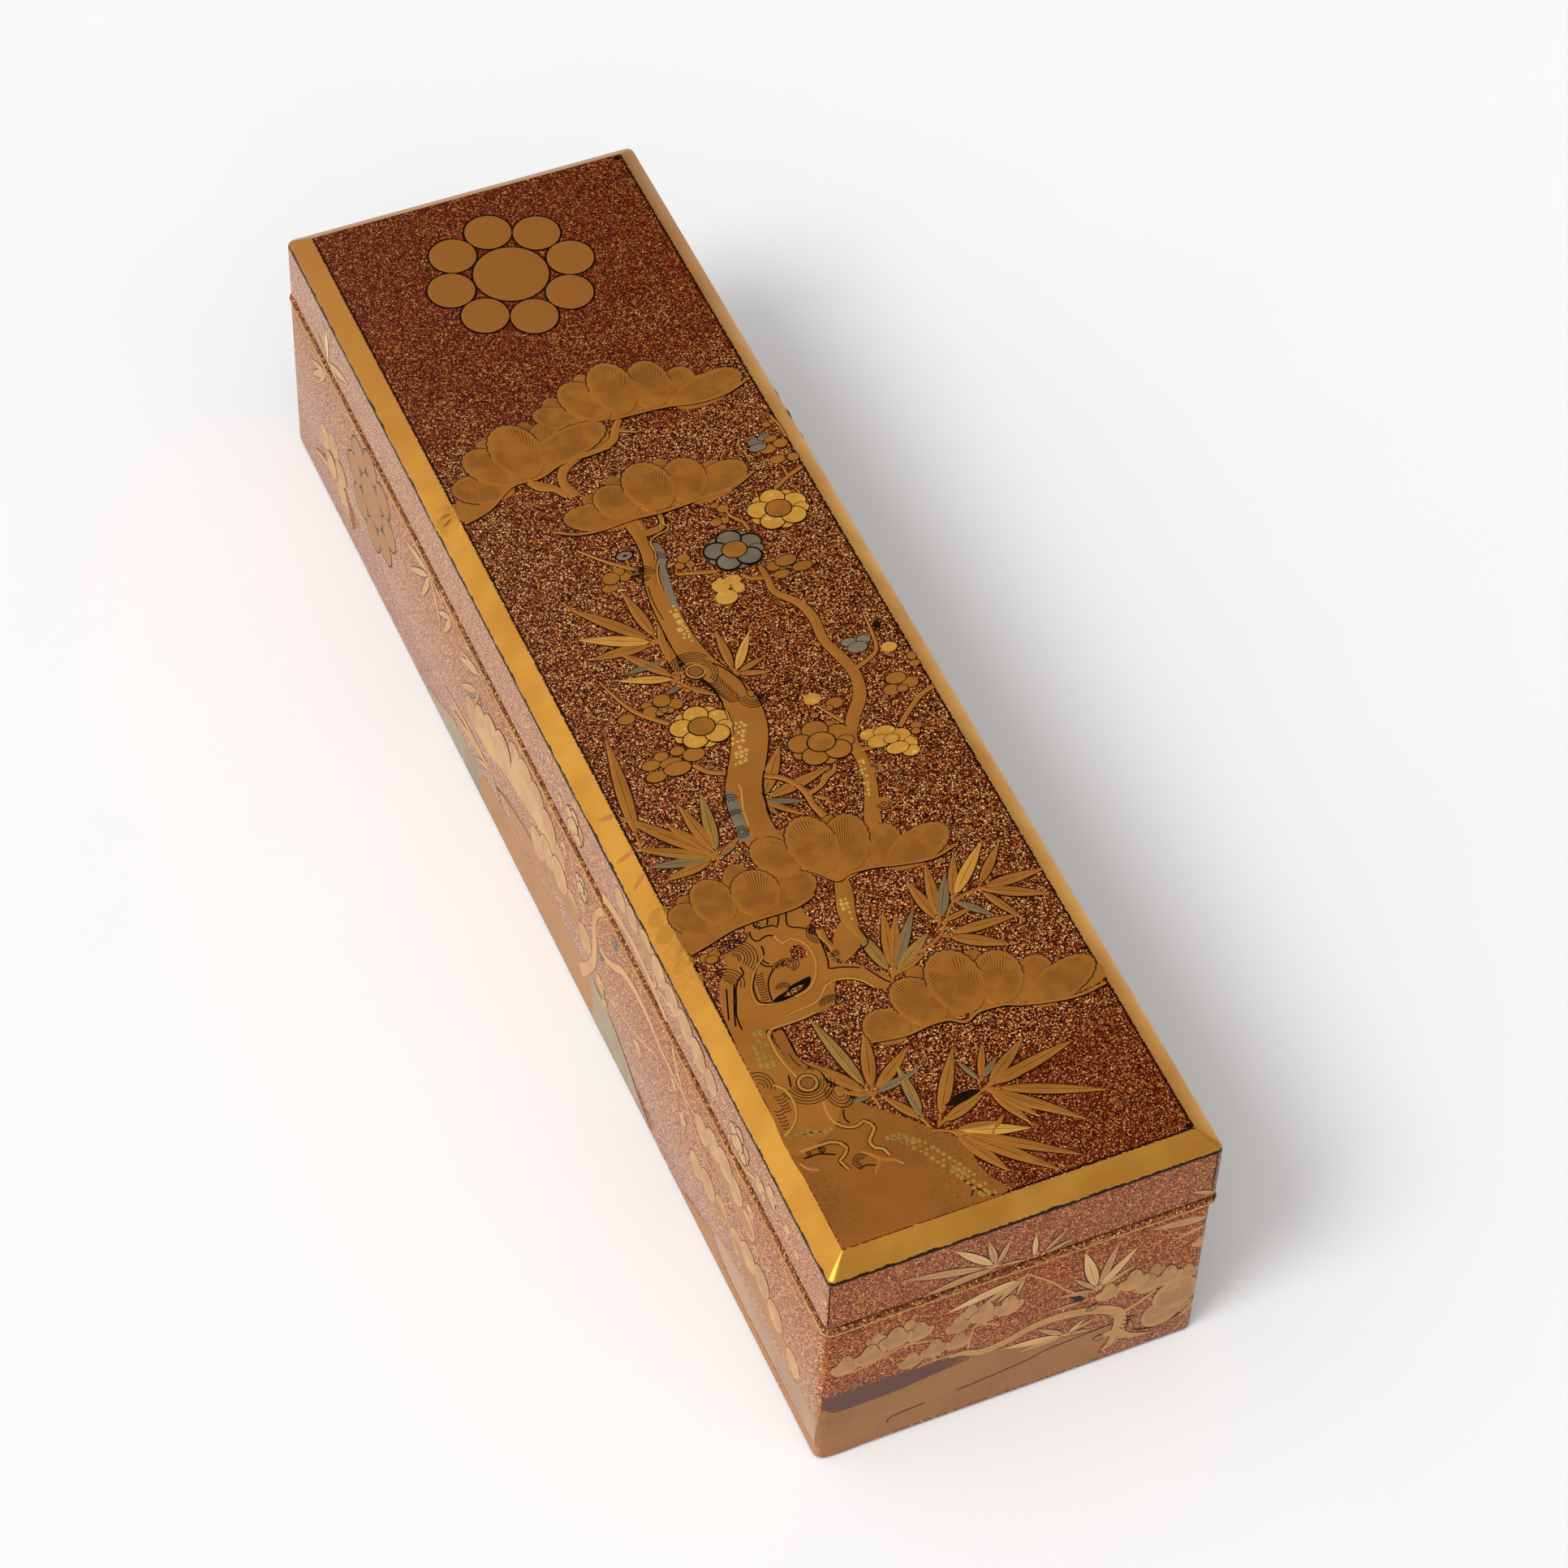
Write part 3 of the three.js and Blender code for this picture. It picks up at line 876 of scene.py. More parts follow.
def leaf_finish(name, base, deep, line, metallic=0.5):
    """A leaf: a fine dark midrib, faint veins and a dark edge."""
    material = raised_gold(name, base, deep, metallic)
    tree, shader, place, tone = reopened(material)
    across = add_node(tree, "SeparateXYZ", add_node(tree, "TexCoord").outputs["UV"]).outputs["Y"]
    aside = add_node(tree, "Math", across, operation="ABSOLUTE")
    midrib = add_node(tree, "MapRange", aside, 0.015, 0.05, 1.0, 0.0, **SOFT)
    beside = add_node(tree, "Math", aside, 0.24, operation="SUBTRACT")
    beside = add_node(tree, "Math", beside, operation="ABSOLUTE")
    vein = add_node(tree, "MapRange", beside, 0.01, 0.04, 0.3, 0.0, **SOFT)
    edge = add_node(tree, "MapRange", aside, 0.42, 0.47, 0.0, 0.8, **SOFT)
    patchy = add_node(tree, "TexNoise", place, per_mm(3), 2.0, 0.55)
    worn = add_node(tree, "MapRange", patchy, 0.25, 0.55, 0.0, 0.75, **SOFT)
    lines = add_node(tree, "Math", midrib, vein, operation="ADD", use_clamp=True)
    lines = add_node(tree, "Math", lines, worn, operation="MULTIPLY")
    lines = add_node(tree, "Math", lines, edge, operation="ADD", use_clamp=True)
    feed_named(tree, shader, Base_Color=add_node(tree, "Mix", lines, tone, line, **COLOURS))
    return material


def hammered_gold(name, base, deep):
    """Polished petals: bright gold with a crumpled look, dull hollows and pale spots of painted glint."""
    material = raised_gold(name, base, deep, 0.3, 0.3, 0.08)
    tree, shader, place, tone = reopened(material)
    crumple = add_node(tree, "TexNoise", place, per_mm(1.1), 4.0, 0.7)
    hollow = add_node(tree, "MapRange", crumple, 0.5, 0.75, 0.0, 0.7, **SOFT)
    # Painted highlight: pale glints mixed into the low spots of the crumple.
    raised = add_node(tree, "MapRange", crumple, 0.28, 0.42, 1.0, 0.0, **SOFT)
    tone = add_node(tree, "Mix", hollow, tone, deep, **COLOURS)
    feed_named(
        tree, shader, Base_Color=add_node(tree, "Mix", raised, tone, "#F4D078", **COLOURS),
        Normal=add_node(tree, "Bump", Height=crumple, Distance=0.1 * MM, Strength=0.8),
    )
    return material


def slope_gold(name, base, deep, line):
    """The gold of the slopes, with thin dark grains sprinkled through it."""
    material = raised_gold(name, base, deep, 0.45, 0.5)
    tree, shader, place, tone = reopened(material)
    value = flake_values(tree, place, 0.22)
    patchy = add_node(tree, "TexNoise", place, per_mm(12), 3.0, 0.55)
    thin = add_node(tree, "MapRange", patchy, 0.35, 0.7, **SOFT)
    dark = add_node(tree, "MapRange", value, 0.72, 0.8, 0.0, 0.35, **SOFT)
    grains = add_node(tree, "Math", dark, thin, operation="MULTIPLY")
    feed_named(tree, shader, Base_Color=add_node(tree, "Mix", grains, tone, line, **COLOURS))
    return material


def finish_set(tag, gold, deep, bright, line, low, crest):
    """The finishes for one side of the box. The sets for the top, the ends and the long sides are copies of
    the same golds, each painted in the tone that the light gives that face.
    """
    def plain(name, *look):
        return raised_gold(f"{name}_{tag}", *look)

    def veined(name, *look):
        return leaf_finish(f"{name}_{tag}", *look)

    return {
        "pine": fan_gold(f"maki_e_gold_pine_{tag}", gold, deep, line, 84, 0.4, 0.55, 0.85),
        "leaf": veined("maki_e_gold_leaf", gold, deep, line),
        "bright": veined("maki_e_bright_gold", bright, gold, line, 0.3),
        "olive": veined("maki_e_green_gold", "#B88A3C", "#946A2C", line, 0.4),
        "silver": plain("maki_e_silver", "#867660", "#54463A", 0.2, 0.5),
        "silver_leaf": veined("maki_e_silver_leaf", "#94784E", "#6E583A", line, 0.3),
        "petal": plain("maki_e_gold_petal", gold, deep),
        "shine": hammered_gold(f"maki_e_polished_petal_{tag}", bright, gold),
        "heart": fan_gold(
            f"maki_e_flower_heart_{tag}", gold, gold, line, 34, 0.02, 0.1, 0.9, short=False
        ),
        "bark": plain("maki_e_gold_bark", gold, deep, 0.55, 0.45),
        "ground": slope_gold(f"maki_e_gold_slope_{tag}", deep, low, line),
        "crest": plain("maki_e_gold_roundel", crest, deep, 0.45, 0.5),
        "cut": plain("cut_gold_leaf", "#D2AA54", "#B08A3E", 0.2, 0.3, 0.005),
        "cut_dim": plain("cut_gold_leaf_dull", "#B88E3E", "#7E5A22", 0.3, 0.4, 0.005),
        # edge is a lighter gold for raised ridges and knot rims, a painted highlight along them.
        "edge": plain("maki_e_gold_line_painted_highlight", gold, bright, 0.45, 0.35),
        "brown": plain("maki_e_brown_knot", deep, line, 0.3, 0.5),
        # The clumps' dark rim: partly a drawn outline, partly painted shadow where a clump lies over the one
        # behind.
        "outline": plain("maki_e_dark_outline_and_shadow", line, line, 0.1, 0.5),
        "field": nashiji_top,
        "ink": black_line,
    }


# Painted light: one gold in three tones, a deep orange on the top and paler golds on the ends and the long
# sides.
top_set = finish_set("top", "#CC8230", "#AC6A24", "#DFA644", "#34180A", "#96581C", "#AA6C28")
end_set = finish_set("end", "#C08C50", "#A06C3A", "#D2A466", "#4A2814", "#8E5C30", "#A4703C")
long_set = finish_set("long", "#D8A868", "#B88250", "#ECCC94", "#6A3E24", "#A87848", "#A4703C")
long_set["mist_green"] = mist_green
long_set["mist_pale"] = pale_mist
top_set["spill"] = fan_gold(
    "maki_e_gold_needles_on_bevel", "#DFA040", "#C68430", "#6E4012", 84, 0.1, 0.2, 0.85, 0.85,
)
print("picture finishes:", len(top_set) + len(end_set) + len(long_set))

# %% [markdown]
# ## Masters
#
# Each master starts as a flat circle or grid at the height of its rim, is drawn into
# shape, and is then inset and raised in steps to a low dome. Its plane coordinates are
# written to the UV map, so that lines drawn by the finish follow every copy.

# %% Masters of unit size
rim_share = 0.5


def keep_plane_in_uv(obj):
    """Writes each point's own x and y to the UV map."""
    mesh = obj.data
    layer = mesh.uv_layers.active or mesh.uv_layers.new(name="UVMap")
    for loop in mesh.loops:
        layer.data[loop.index].uv = mesh.vertices[loop.vertex_index].co.xy


def crown(obj, rim=0.03):
    """Insets the flat shape three times, higher each time, to a low dome. The first,
    narrow ring of faces takes the finish of the rim."""
    pick(obj, "FACE", lambda middle, normal: True)
    bpy.ops.mesh.inset(thickness=rim, depth=0.15)
    leave_edit()
    for face in obj.data.polygons:
        face.material_index = 0 if face.select else 1
    bpy.ops.object.mode_set(mode="EDIT")
    for draw_in, rise in ((0.07, 0.20), (0.12, 0.15)):
        bpy.ops.mesh.inset(thickness=draw_in, depth=rise)
    leave_edit()


def round_blank(name, vertices):
    bpy.ops.mesh.primitive_circle_add(
        vertices=vertices, radius=0.5, fill_type="NGON", location=(0, 0, rim_share)
    )
    obj = bpy.context.object
    obj.name = name
    bpy.ops.object.transform_apply(location=True, rotation=False, scale=False)
    return obj


def make_disc():
    disc = round_blank("master_disc", 26)
    crown(disc)
    keep_plane_in_uv(disc)
    return disc


def every_other(point, count):
    """True for every other of the points that stand evenly round a circle."""
    step = 2 * math.pi / count
    return round(math.atan2(point.y, point.x) / step) % 2 == 0


def make_clump(pointed):
    """A fan of pine needles with a toothed edge. Its stalk end is the origin."""
    teeth = 44
    clump = round_blank("master_clump", teeth)
    pick(clump, "VERT", lambda p, n: p.y > -0.1 and every_other(p, teeth))
    bpy.ops.transform.resize(value=(1.045, 1.045, 1), center_override=(0, 0, 0))
    leave_edit()
    if pointed:
        pick(clump, "VERT", lambda p, n: p.y > 0.2)
        bpy.ops.transform.resize(value=(0.62, 1.5, 1), center_override=(0, 0.2, 0))
        leave_edit()
    crown(clump, rim=0.022)
    for face in clump.data.polygons:
        if face.center.y < 0.02:
            face.material_index = 0
    pick(clump, "VERT", lambda p, n: p.y < 0)
    bpy.ops.transform.resize(value=(1, 1.2, 1), center_override=(0, 0, 0))
    leave_edit()
    lowest = min(v.co.y for v in clump.data.vertices)
    highest = max(v.co.y for v in clump.data.vertices)
    pick(clump, "VERT", lambda p, n: True)
    bpy.ops.transform.translate(value=(0, -lowest, 0))
    bpy.ops.transform.resize(value=(1, 1 / (highest - lowest), 1), center_override=(0, 0, 0))
    leave_edit()
    keep_plane_in_uv(clump)
    return clump


def make_leaf():
    """A bamboo leaf along X, from its stalk at the origin to its tip at 1."""
    steps = 12
    bpy.ops.mesh.primitive_grid_add(
        x_subdivisions=steps, y_subdivisions=4, size=1, location=(0.5, 0, rim_share)
    )
    leaf = bpy.context.object
    leaf.name = "master_leaf"
    bpy.ops.object.transform_apply(location=True, rotation=False, scale=False)
    pick(leaf, "VERT", lambda p, n: abs(p.y) < 0.3)
    bpy.ops.transform.translate(value=(0, 0, 0.45))
    leave_edit()
    pick(leaf, "VERT", lambda p, n: abs(p.y) < 0.1)
    bpy.ops.transform.translate(value=(0, 0, 0.2))
    leave_edit()
    keep_plane_in_uv(leaf)
    for column in range(steps + 1):
        x = column / steps
        width = max(math.sin(math.pi * x ** 0.75) ** 0.85, 0.04) if 0 < x < 1 else 0.04
        pick(leaf, "VERT", lambda p, n: abs(p.x - x) < 0.2 / steps)
        bpy.ops.transform.resize(value=(1, width, 1), center_override=(x, 0, 0))
        leave_edit()
    return leaf


def make_square():
    """A square of cut gold leaf with softened edges."""
    bpy.ops.mesh.primitive_plane_add(size=1, location=(0, 0, rim_share))
    square = bpy.context.object
    square.name = "master_square"
    bpy.ops.object.transform_apply(location=True, rotation=False, scale=False)
    pick(square, "FACE", lambda middle, normal: True)
    bpy.ops.mesh.inset(thickness=0.12, depth=0.5)
    leave_edit()
    keep_plane_in_uv(square)
    return square


masters = {
    "disc": make_disc(),
    "clump": make_clump(pointed=False),
    "bud": make_clump(pointed=True),
    "leaf": make_leaf(),
    "square": make_square(),
}
print("masters:", {name: len(m.data.polygons) for name, m in masters.items()})

# %% [markdown]
# ## Laying a sheet on the bench
#
# A motif is drawn in the plane of its face, in millimetres: x and y on the top, x and
# height on the ends, and the way along the box and height on the sides. Everything
# that is laid out waits on the bench until relief() joins it and fixes it to a face.

# %% Laying out copies of the masters
bench = []
finishes = top_set
clump_height = 0.12
layer_step = 0.06


def lay(master, at, size, turn, lift, finish, rim="outline"):
    """Lays one copy of a master: size is (x, y, height), turn is in radians."""
    sheet = copy_of(masters[master], "sheet")
    place = Matrix.Translation((at[0], at[1], lift)) @ Matrix.Rotation(turn, 4, "Z")
    sheet.data.transform(place @ Matrix.Diagonal((*size, 1)))
    sheet.data.materials.append(finishes[finish])
    sheet.data.materials.append(finishes[rim])
    bench.append(sheet)


def direction(start, end):
    """Length and angle of the way from one point to another."""
    dx = end[0] - start[0]
    dy = end[1] - start[1]
    return math.hypot(dx, dy), math.atan2(dy, dx)


def clump(stalk, tip, width, height, lift, kind="clump", finish="pine", rim="outline"):
    """One fan of needles from its stalk end to its tip."""
    length, angle = direction(stalk, tip)
    lay(kind, stalk, (width, length, height), angle - math.pi / 2, lift, finish, rim)


def leaf(base, tip, width, finish, height=0.22, lift=0.0):
    length, angle = direction(base, tip)
    lay("leaf", base, (length, width, height), angle, lift, finish)


def disc(at, radius, finish, height, lift=0.0, squash=1.0):
    lay("disc", at, (2 * radius, 2 * radius * squash, height), 0.0, lift, finish, finish)


def around(middle, reach, count, turn, squash=1.0):
    """Points that stand evenly round a middle."""
    angles = [turn + 2 * math.pi * i / count for i in range(count)]
    return [
        (middle[0] + reach * math.cos(angle), middle[1] + reach * squash * math.sin(angle))
        for angle in angles
    ]


print("bench empty:", len(bench) == 0)

# %% [markdown]
# ## Strokes and patches
#
# Branches, stalks and drawn lines are strokes: a grid that is laid along a smooth
# curve through a few given points, wide or narrow as the brush was pressed. Slopes
# and the bodies of the pine boughs are patches: a filled outline through its points.

# %% Smooth curves through chosen points
def smooth_path(points, step, closed=False):
    """Evenly fine points on a Catmull-Rom curve. Points are tuples of equal length."""
    count = len(points)
    spans = count if closed else count - 1
    path = []
    for span in range(spans):
        picks = [span - 1, span, span + 1, span + 2]
        if closed:
            picks = [i % count for i in picks]
        else:
            picks = [min(max(i, 0), count - 1) for i in picks]
        a, b, c, d = (points[i] for i in picks)
        pieces = max(1, round(direction(b, c)[0] / step))
        for piece in range(pieces):
            t = piece / pieces
            path.append(tuple(
                0.5 * (2 * q + (r - p) * t + (2 * p - 5 * q + 4 * r - s) * t * t
                       + (3 * q - p - 3 * r + s) * t ** 3)
                for p, q, r, s in zip(a, b, c, d)
            ))
    if not closed:
        path.append(tuple(points[-1]))
    return path


def stroke(points, widths, finish, height, lift=0.0, step=0.9, closed=False):
    """A domed brush stroke through the points. Widths is one number or one for each."""
    if not isinstance(widths, (list, tuple)):
        widths = [widths] * len(points)
    path = smooth_path([(p[0], p[1], w) for p, w in zip(points, widths)], step, closed)
    if closed:
        path.append(path[0])
    last = len(path) - 1
    bpy.ops.mesh.primitive_grid_add(x_subdivisions=last, y_subdivisions=4, size=1)
    sheet = bpy.context.object
    mesh = sheet.data
    for vertex in mesh.vertices:
        i = round((vertex.co.x + 0.5) * last)
        side = 2 * vertex.co.y
        before, after = path[max(i - 1, 0)], path[min(i + 1, last)]
        if closed and i in (0, last):
            before, after = path[last - 1], path[1]
        angle = direction(before, after)[1]
        offset = side * max(path[i][2], 0.06) / 2
        dome = rim_share + (1 - rim_share) * (1 - side * side)
        vertex.co.x = path[i][0] - offset * math.sin(angle)
        vertex.co.y = path[i][1] + offset * math.cos(angle)
        vertex.co.z = lift + height * dome
    mesh.materials.append(finishes[finish])
    bench.append(sheet)


def ink(points, width, lift, closed=False):
    """A thin black line, a hair proud of what it is drawn on."""
    stroke(points, width, "ink", 0.1, lift, 0.7, closed)


def patch(outline, finish, height, lift=0.0, step=1.2):
    """A flat filled shape inside a smooth closed outline."""
    path = smooth_path(outline, step, closed=True)
    bpy.ops.mesh.primitive_circle_add(vertices=len(path), radius=1, fill_type="NGON")
    sheet = bpy.context.object
    for vertex, point in zip(sheet.data.vertices, path):
        vertex.co = (point[0], point[1], lift + height)
    sheet.data.materials.append(finishes[finish])
    bench.append(sheet)


print("strokes and patches ready")

# %% Fixing the bench's sheets to a face of the box
relief_sink = 0.12
top_share = 0.6
side_share = 0.3
slope = bevel_rise / bevel_run
upward_way = Vector((0, 0, 1))
right_way = Vector((1, 0, 0))
far_way = Vector((0, 1, 0))
outward_ways = {"near": -far_way, "far": far_way, "left": -right_way, "right": right_way}
face_planes = {
    "top": (Vector((0, 0, lid_top)), right_way, far_way, upward_way),
    "left_bevel": (
        Vector((0, 0, lid_top + panel_half.x * slope)), Vector((1, 0, slope)), far_way,
        Vector((-slope, 0, 1)).normalized(),
    ),
}
corner_sizes = {}
for part, middle, half, corner in (
    ("lid", 0, lid_half, lid_corner), ("box", box_middle, box_half, box_corner),
):
    for side, outward in outward_ways.items():
        reach, half_width = (half.x, half.y) if outward.x else (half.y, half.x)
        origin = Vector((middle, 0, 0)) + outward * reach
        face_planes[f"{part}_{side}"] = (origin, upward_way.cross(outward), upward_way, outward)
        corner_sizes[f"{part}_{side}"] = (half_width, corner)


def wrap_corners(obj, half, radius):
    """Bends what lies past the flat part of a side round its upright corners."""
    flat = half - radius
    if max(abs(v.co.x) for v in obj.data.vertices) <= flat:
        return
    for way in (-1, 1):
        for share in (0, 0.3, 0.6, 0.9):
            pick(obj, "FACE", lambda middle, normal: True)
            cut = way * (flat + share * radius)
            bpy.ops.mesh.bisect(plane_co=(cut, 0, 0), plane_no=(1, 0, 0))
            leave_edit()
    for vertex in obj.data.vertices:
        beyond = abs(vertex.co.x) - flat
        if beyond > 0:
            angle = beyond / radius
            reach = radius + vertex.co.z
            vertex.co.x = math.copysign(flat + reach * math.sin(angle), vertex.co.x)
            vertex.co.z = reach * math.cos(angle) - radius


def relief(name, face, slot="maki_e_gold"):
    """Joins what lies on the bench, closes it behind, and fixes it to a face."""
    sheets = list(bench)
    bench.clear()
    select_only(*sheets)
    bpy.ops.object.join()
    obj = bpy.context.object
    obj.name = name
    obj.data.transform(Matrix.Diagonal((1, 1, top_share if face == "top" else side_share, 1)))
    pick(obj, "FACE", lambda middle, normal: True)
    bpy.ops.mesh.extrude_region_move(TRANSFORM_OT_translate={"value": (0, 0, 0)})
    bpy.ops.transform.resize(value=(1, 1, 0), center_override=(0, 0, -relief_sink))
    bpy.ops.mesh.select_all(action="SELECT")
    leave_edit()
    if face in corner_sizes:
        wrap_corners(obj, *corner_sizes[face])
    origin, across, along, outward = face_planes[face]
    plane = Matrix((across, along, outward)).transposed().to_4x4()
    obj.data.transform(Matrix.Translation(origin) @ plane)
    pick(obj, "FACE", lambda middle, normal: True)
    bpy.ops.mesh.normals_make_consistent(inside=False)
    leave_edit()
    body = "box" if face.startswith("box") else "lid"
    return finish_piece(obj, body, slot, angle=40)


print("faces:", sorted(face_planes))

# %% [markdown]
# ## The roundel of nine discs
#
# A large disc with eight small ones round it is a common old family mark. The discs
# are flat and even, their edges crisp, each in a thin ring of black. It is laid on
# the far end of the top and again on the long sides.

# %% Roundel
def roundel(name, face, middle, big, ring, small):
    """Nine discs, each over a slightly wider black one."""
    small_discs = [(at, small) for at in around(middle, ring, 8, math.pi / 2)]
    for at, radius in [(middle, big)] + small_discs:
        disc(at, radius + 0.4, "ink", 0.06)
        disc(at, radius, "crest", 0.20)
    return relief(name, face)


roundel("roundel_top", "top", (0, 102.9), 7.25, 12.2, 4.55)
print("roundel laid")

# %% [markdown]
# ## Pine boughs
#
# A bough is a gold cloud with a row of needle clumps along its upper edge. Big clumps
# lie in front, small ones peep out behind them. Each clump is given by its stalk end,
# its tip and its width, and has a dark rim along its toothed upper half: partly a drawn
# outline, partly painted shadow where it lies over the clump behind. Under the bough
# runs a dark line where the twig shows.

# %% Boughs on the top
clump_spread = 1.12


def stalk_end(clump_points, twig):
    """Where a clump's needles start: drawn back until they meet the twig below."""
    sx, sy, tx, ty = clump_points
    above = [point[1] for point in twig if abs(point[0] - sx) < 5] or [sy]
    room = (sy - sum(above) / len(above) - 0.6) / max(abs(ty - sy), 3)
    back = min(max(room, 0.12), 0.55)
    return sx - back * (tx - sx), sy - back * (ty - sy)


def bough(name, clumps, body, twig):
    """Clumps are (stalk x, y, tip x, y, width); narrow ones are laid first, behind."""
    patch(body, "petal", 0.06)
    for order, (sx, sy, tx, ty, width) in enumerate(sorted(clumps, key=lambda c: c[4])):
        stalk = stalk_end((sx, sy, tx, ty), twig)
        clump(stalk, (tx, ty), width * clump_spread, clump_height, layer_step * order)
    ink([(x, y - 0.25) for x, y in twig], 0.45, 0.3)
    stroke(twig, 0.55, "bark", 0.15, 0.34)
    relief(name, "top")


top_boughs = {
    1: (
        [
            (6.4, 62.3, 6.4, 74.6, 7.8), (12.4, 61.3, 14.2, 72.3, 7.4), (16.6, 60.8, 21, 68.1, 6),
            (20.7, 60.3, 30.8, 62.9, 6.6), (2.2, 61.8, -2.2, 71.9, 7.2), (2.5, 68.6, 1.5, 73.4, 3.6),
            (-4.3, 65, -6.4, 69.6, 3.5), (-2.7, 61.8, -10, 67, 5),
        ],
        [
            (-8, 64), (-4, 65), (2, 66), (8, 67), (14, 66), (20, 63.8), (26, 61.5), (26, 59.4),
            (20, 58.6), (14, 59.6), (8, 60), (3, 60.4), (-2, 61.2), (-6, 62.5),
        ],
        [(3.2, 60), (8, 59.8), (14, 59.4), (20, 58.2), (26, 58.5), (31, 60.4)],
    ),
    2: (
        [
            (-16, 56.1, -16.8, 66.4, 8.6), (-20.4, 55, -25.6, 62, 7.4), (-23.8, 51.9, -31, 54.6, 6.6),
            (-20.4, 60.8, -21.7, 64.2, 3.4), (-13.6, 60.8, -12.3, 65.7, 4), (-11.6, 56, -8.6, 64.3, 6.5),
            (-9, 56.6, 1.9, 59.6, 6.6),
        ],
        [
            (-31.6, 49.5), (-30, 53), (-25, 57.5), (-18, 60.5), (-12, 61.5), (-6, 61), (0, 60),
            (1.6, 57.8), (0, 54.6), (-5, 53.9), (-9, 53.4), (-13, 51.6), (-17, 51.6), (-20.5, 51),
            (-24, 48.6), (-28, 46.9), (-31.6, 46.2),
        ],
        [(-31.4, 45.6), (-26, 47.2), (-20, 51.1), (-14.6, 51.2), (-9.6, 53), (-4, 53.2), (0.4, 53.6)],
    ),
    3: (
        [
            (3.5, 36.8, 2.8, 48.2, 8.4), (9, 37, 11.6, 46.4, 7.4), (12.6, 37.6, 22.3, 40.8, 6.8),
            (-2.5, 37, -5.6, 44.8, 7), (-5.6, 37.4, -14.8, 39.9, 6.4), (-1.7, 42.5, -2.7, 46.9, 3.6),
            (6.7, 43.5, 7.4, 47.9, 3.6), (-7, 41, -8.8, 44.1, 3.2), (14, 40, 18, 43, 4.6),
        ],
        [
            (-14.2, 39), (-10, 41.5), (-5, 42.5), (0, 44), (6, 44.5), (12, 42.8), (18, 41.5),
            (21.6, 39.4), (19, 36.6), (13, 35.9), (7, 35.7), (1, 35.6), (-5, 35.5), (-10, 36.2),
        ],
        [(-16.5, 37.2), (-13.6, 35.6), (-9, 34.9), (-3, 35.3), (4, 35), (12, 35.5), (18, 36), (22.8, 38.2)],
    ),
    4: (
        [
            (-8.4, -50.9, -11.8, -42.2, 6.6), (-7.2, -45.4, -8.4, -41, 3.4), (-2.7, -49, -2.7, -40.2, 8),
            (1.7, -45.6, 2.4, -41.9, 3.4), (2, -50.4, 5.8, -42.7, 7.4), (7.2, -53, 11.5, -47.4, 6),
            (11.9, -54.9, 20.9, -51.6, 6.4),
        ],
        [
            (-10.4, -48.4), (-6, -45), (0, -44.4), (6, -46), (11, -50), (16, -51.4), (19.4, -53.6),
            (19, -56), (15, -56.9), (10, -56.2), (5, -55), (0, -54.9), (-3, -55.2), (-6, -52),
        ],
        [
            (-4.8, -52.4), (-1.9, -55.9), (0.5, -55.2), (5.1, -55.5), (9.8, -56.7), (15.5, -57.5),
            (20, -56.4),
        ],
    ),
    5: (
        [
            (-23.5, -53.6, -23.8, -46.8, 6.8), (-16.3, -55, -15.2, -47.9, 7.7), (-18, -50, -17, -45.7, 4.4),
            (-12.6, -55.4, -5, -53.2, 6.4), (-27.7, -52.8, -28.4, -48.8, 3.6), (-27.4, -55.4, -31.5, -51, 6),
        ],
        [
            (-31.8, -52), (-28.5, -51.8), (-24, -50), (-18, -50.4), (-12, -51), (-7, -52.6),
            (-5.6, -54.6), (-8, -57.4), (-13, -58.1), (-19, -58.3), (-24, -58.8), (-28, -59.8),
            (-31.8, -60.8),
        ],
        [(-31.6, -61.2), (-27, -60), (-22.5, -58.8), (-17.8, -58.5), (-11, -58.5), (-6.9, -57.2)],
    ),
    6: (
        [
            (7.6, -88, 8, -76.2, 8.8), (1.7, -88.2, -2, -79.4, 7.6), (-4.2, -89.4, -10.6, -85.4, 6.8),
            (13.7, -88.4, 17, -79.6, 7.8), (19.4, -89.4, 23.6, -83.3, 6), (22.6, -90.6, 32, -87.2, 6.2),
            (2.5, -81, 2, -77.4, 3.6), (12.4, -81.4, 13, -78, 3.6),
        ],
        [
            (-10.3, -87.6), (-6, -86.6), (0, -84.6), (8, -83), (15, -84), (21, -86.6), (26, -88),
            (31.9, -88.6), (31.9, -92), (28, -93), (23, -93), (18, -91.9), (13, -90.5), (8, -90.2),
            (3, -90.2), (-3, -90.2), (-8, -90),
        ],
        [
            (-10.6, -89.6), (-4.8, -90.5), (0, -90), (3.5, -90.3), (5.9, -91.8), (8.8, -90.6), (13.6, -90.9),
            (15.6, -91.8), (21.3, -93.3), (26.5, -93.9), (31.4, -93.2),
        ],
    ),
}
for number, (clumps, body, twig) in top_boughs.items():
    bough(f"pine_bough_top_{number}", clumps, body, twig)
print("pine boughs on the top:", len(top_boughs))

# %% Thin black line where panel and bevel meet
for points in (
    [(-31.75, 125.6), (-31.75, 0), (-31.75, -125.7)], [(-31.7, -125.75), (0, -125.75), (31.7, -125.75)],
    [(31.75, -125.6), (31.75, 0), (31.75, 125.6)],
):
    stroke(points, 0.3, "ink", 0.08, -0.03, 8)
for corner in ((31.2, -125.2), (-31.3, -125.3), (31.0, 125.2)):
    disc(corner, 0.6, "ink", 0.08, -0.02)
relief("panel_edge_line", "top")

# %% Where two boughs spill over the left bevel
def bend_over_arris(obj):
    """Lays what reaches past the bevel's upper edge flat on the panel."""
    for vertex in obj.data.vertices:
        past = vertex.co.x + panel_half.x * MM
        if past > 0:
            vertex.co.z -= past * slope


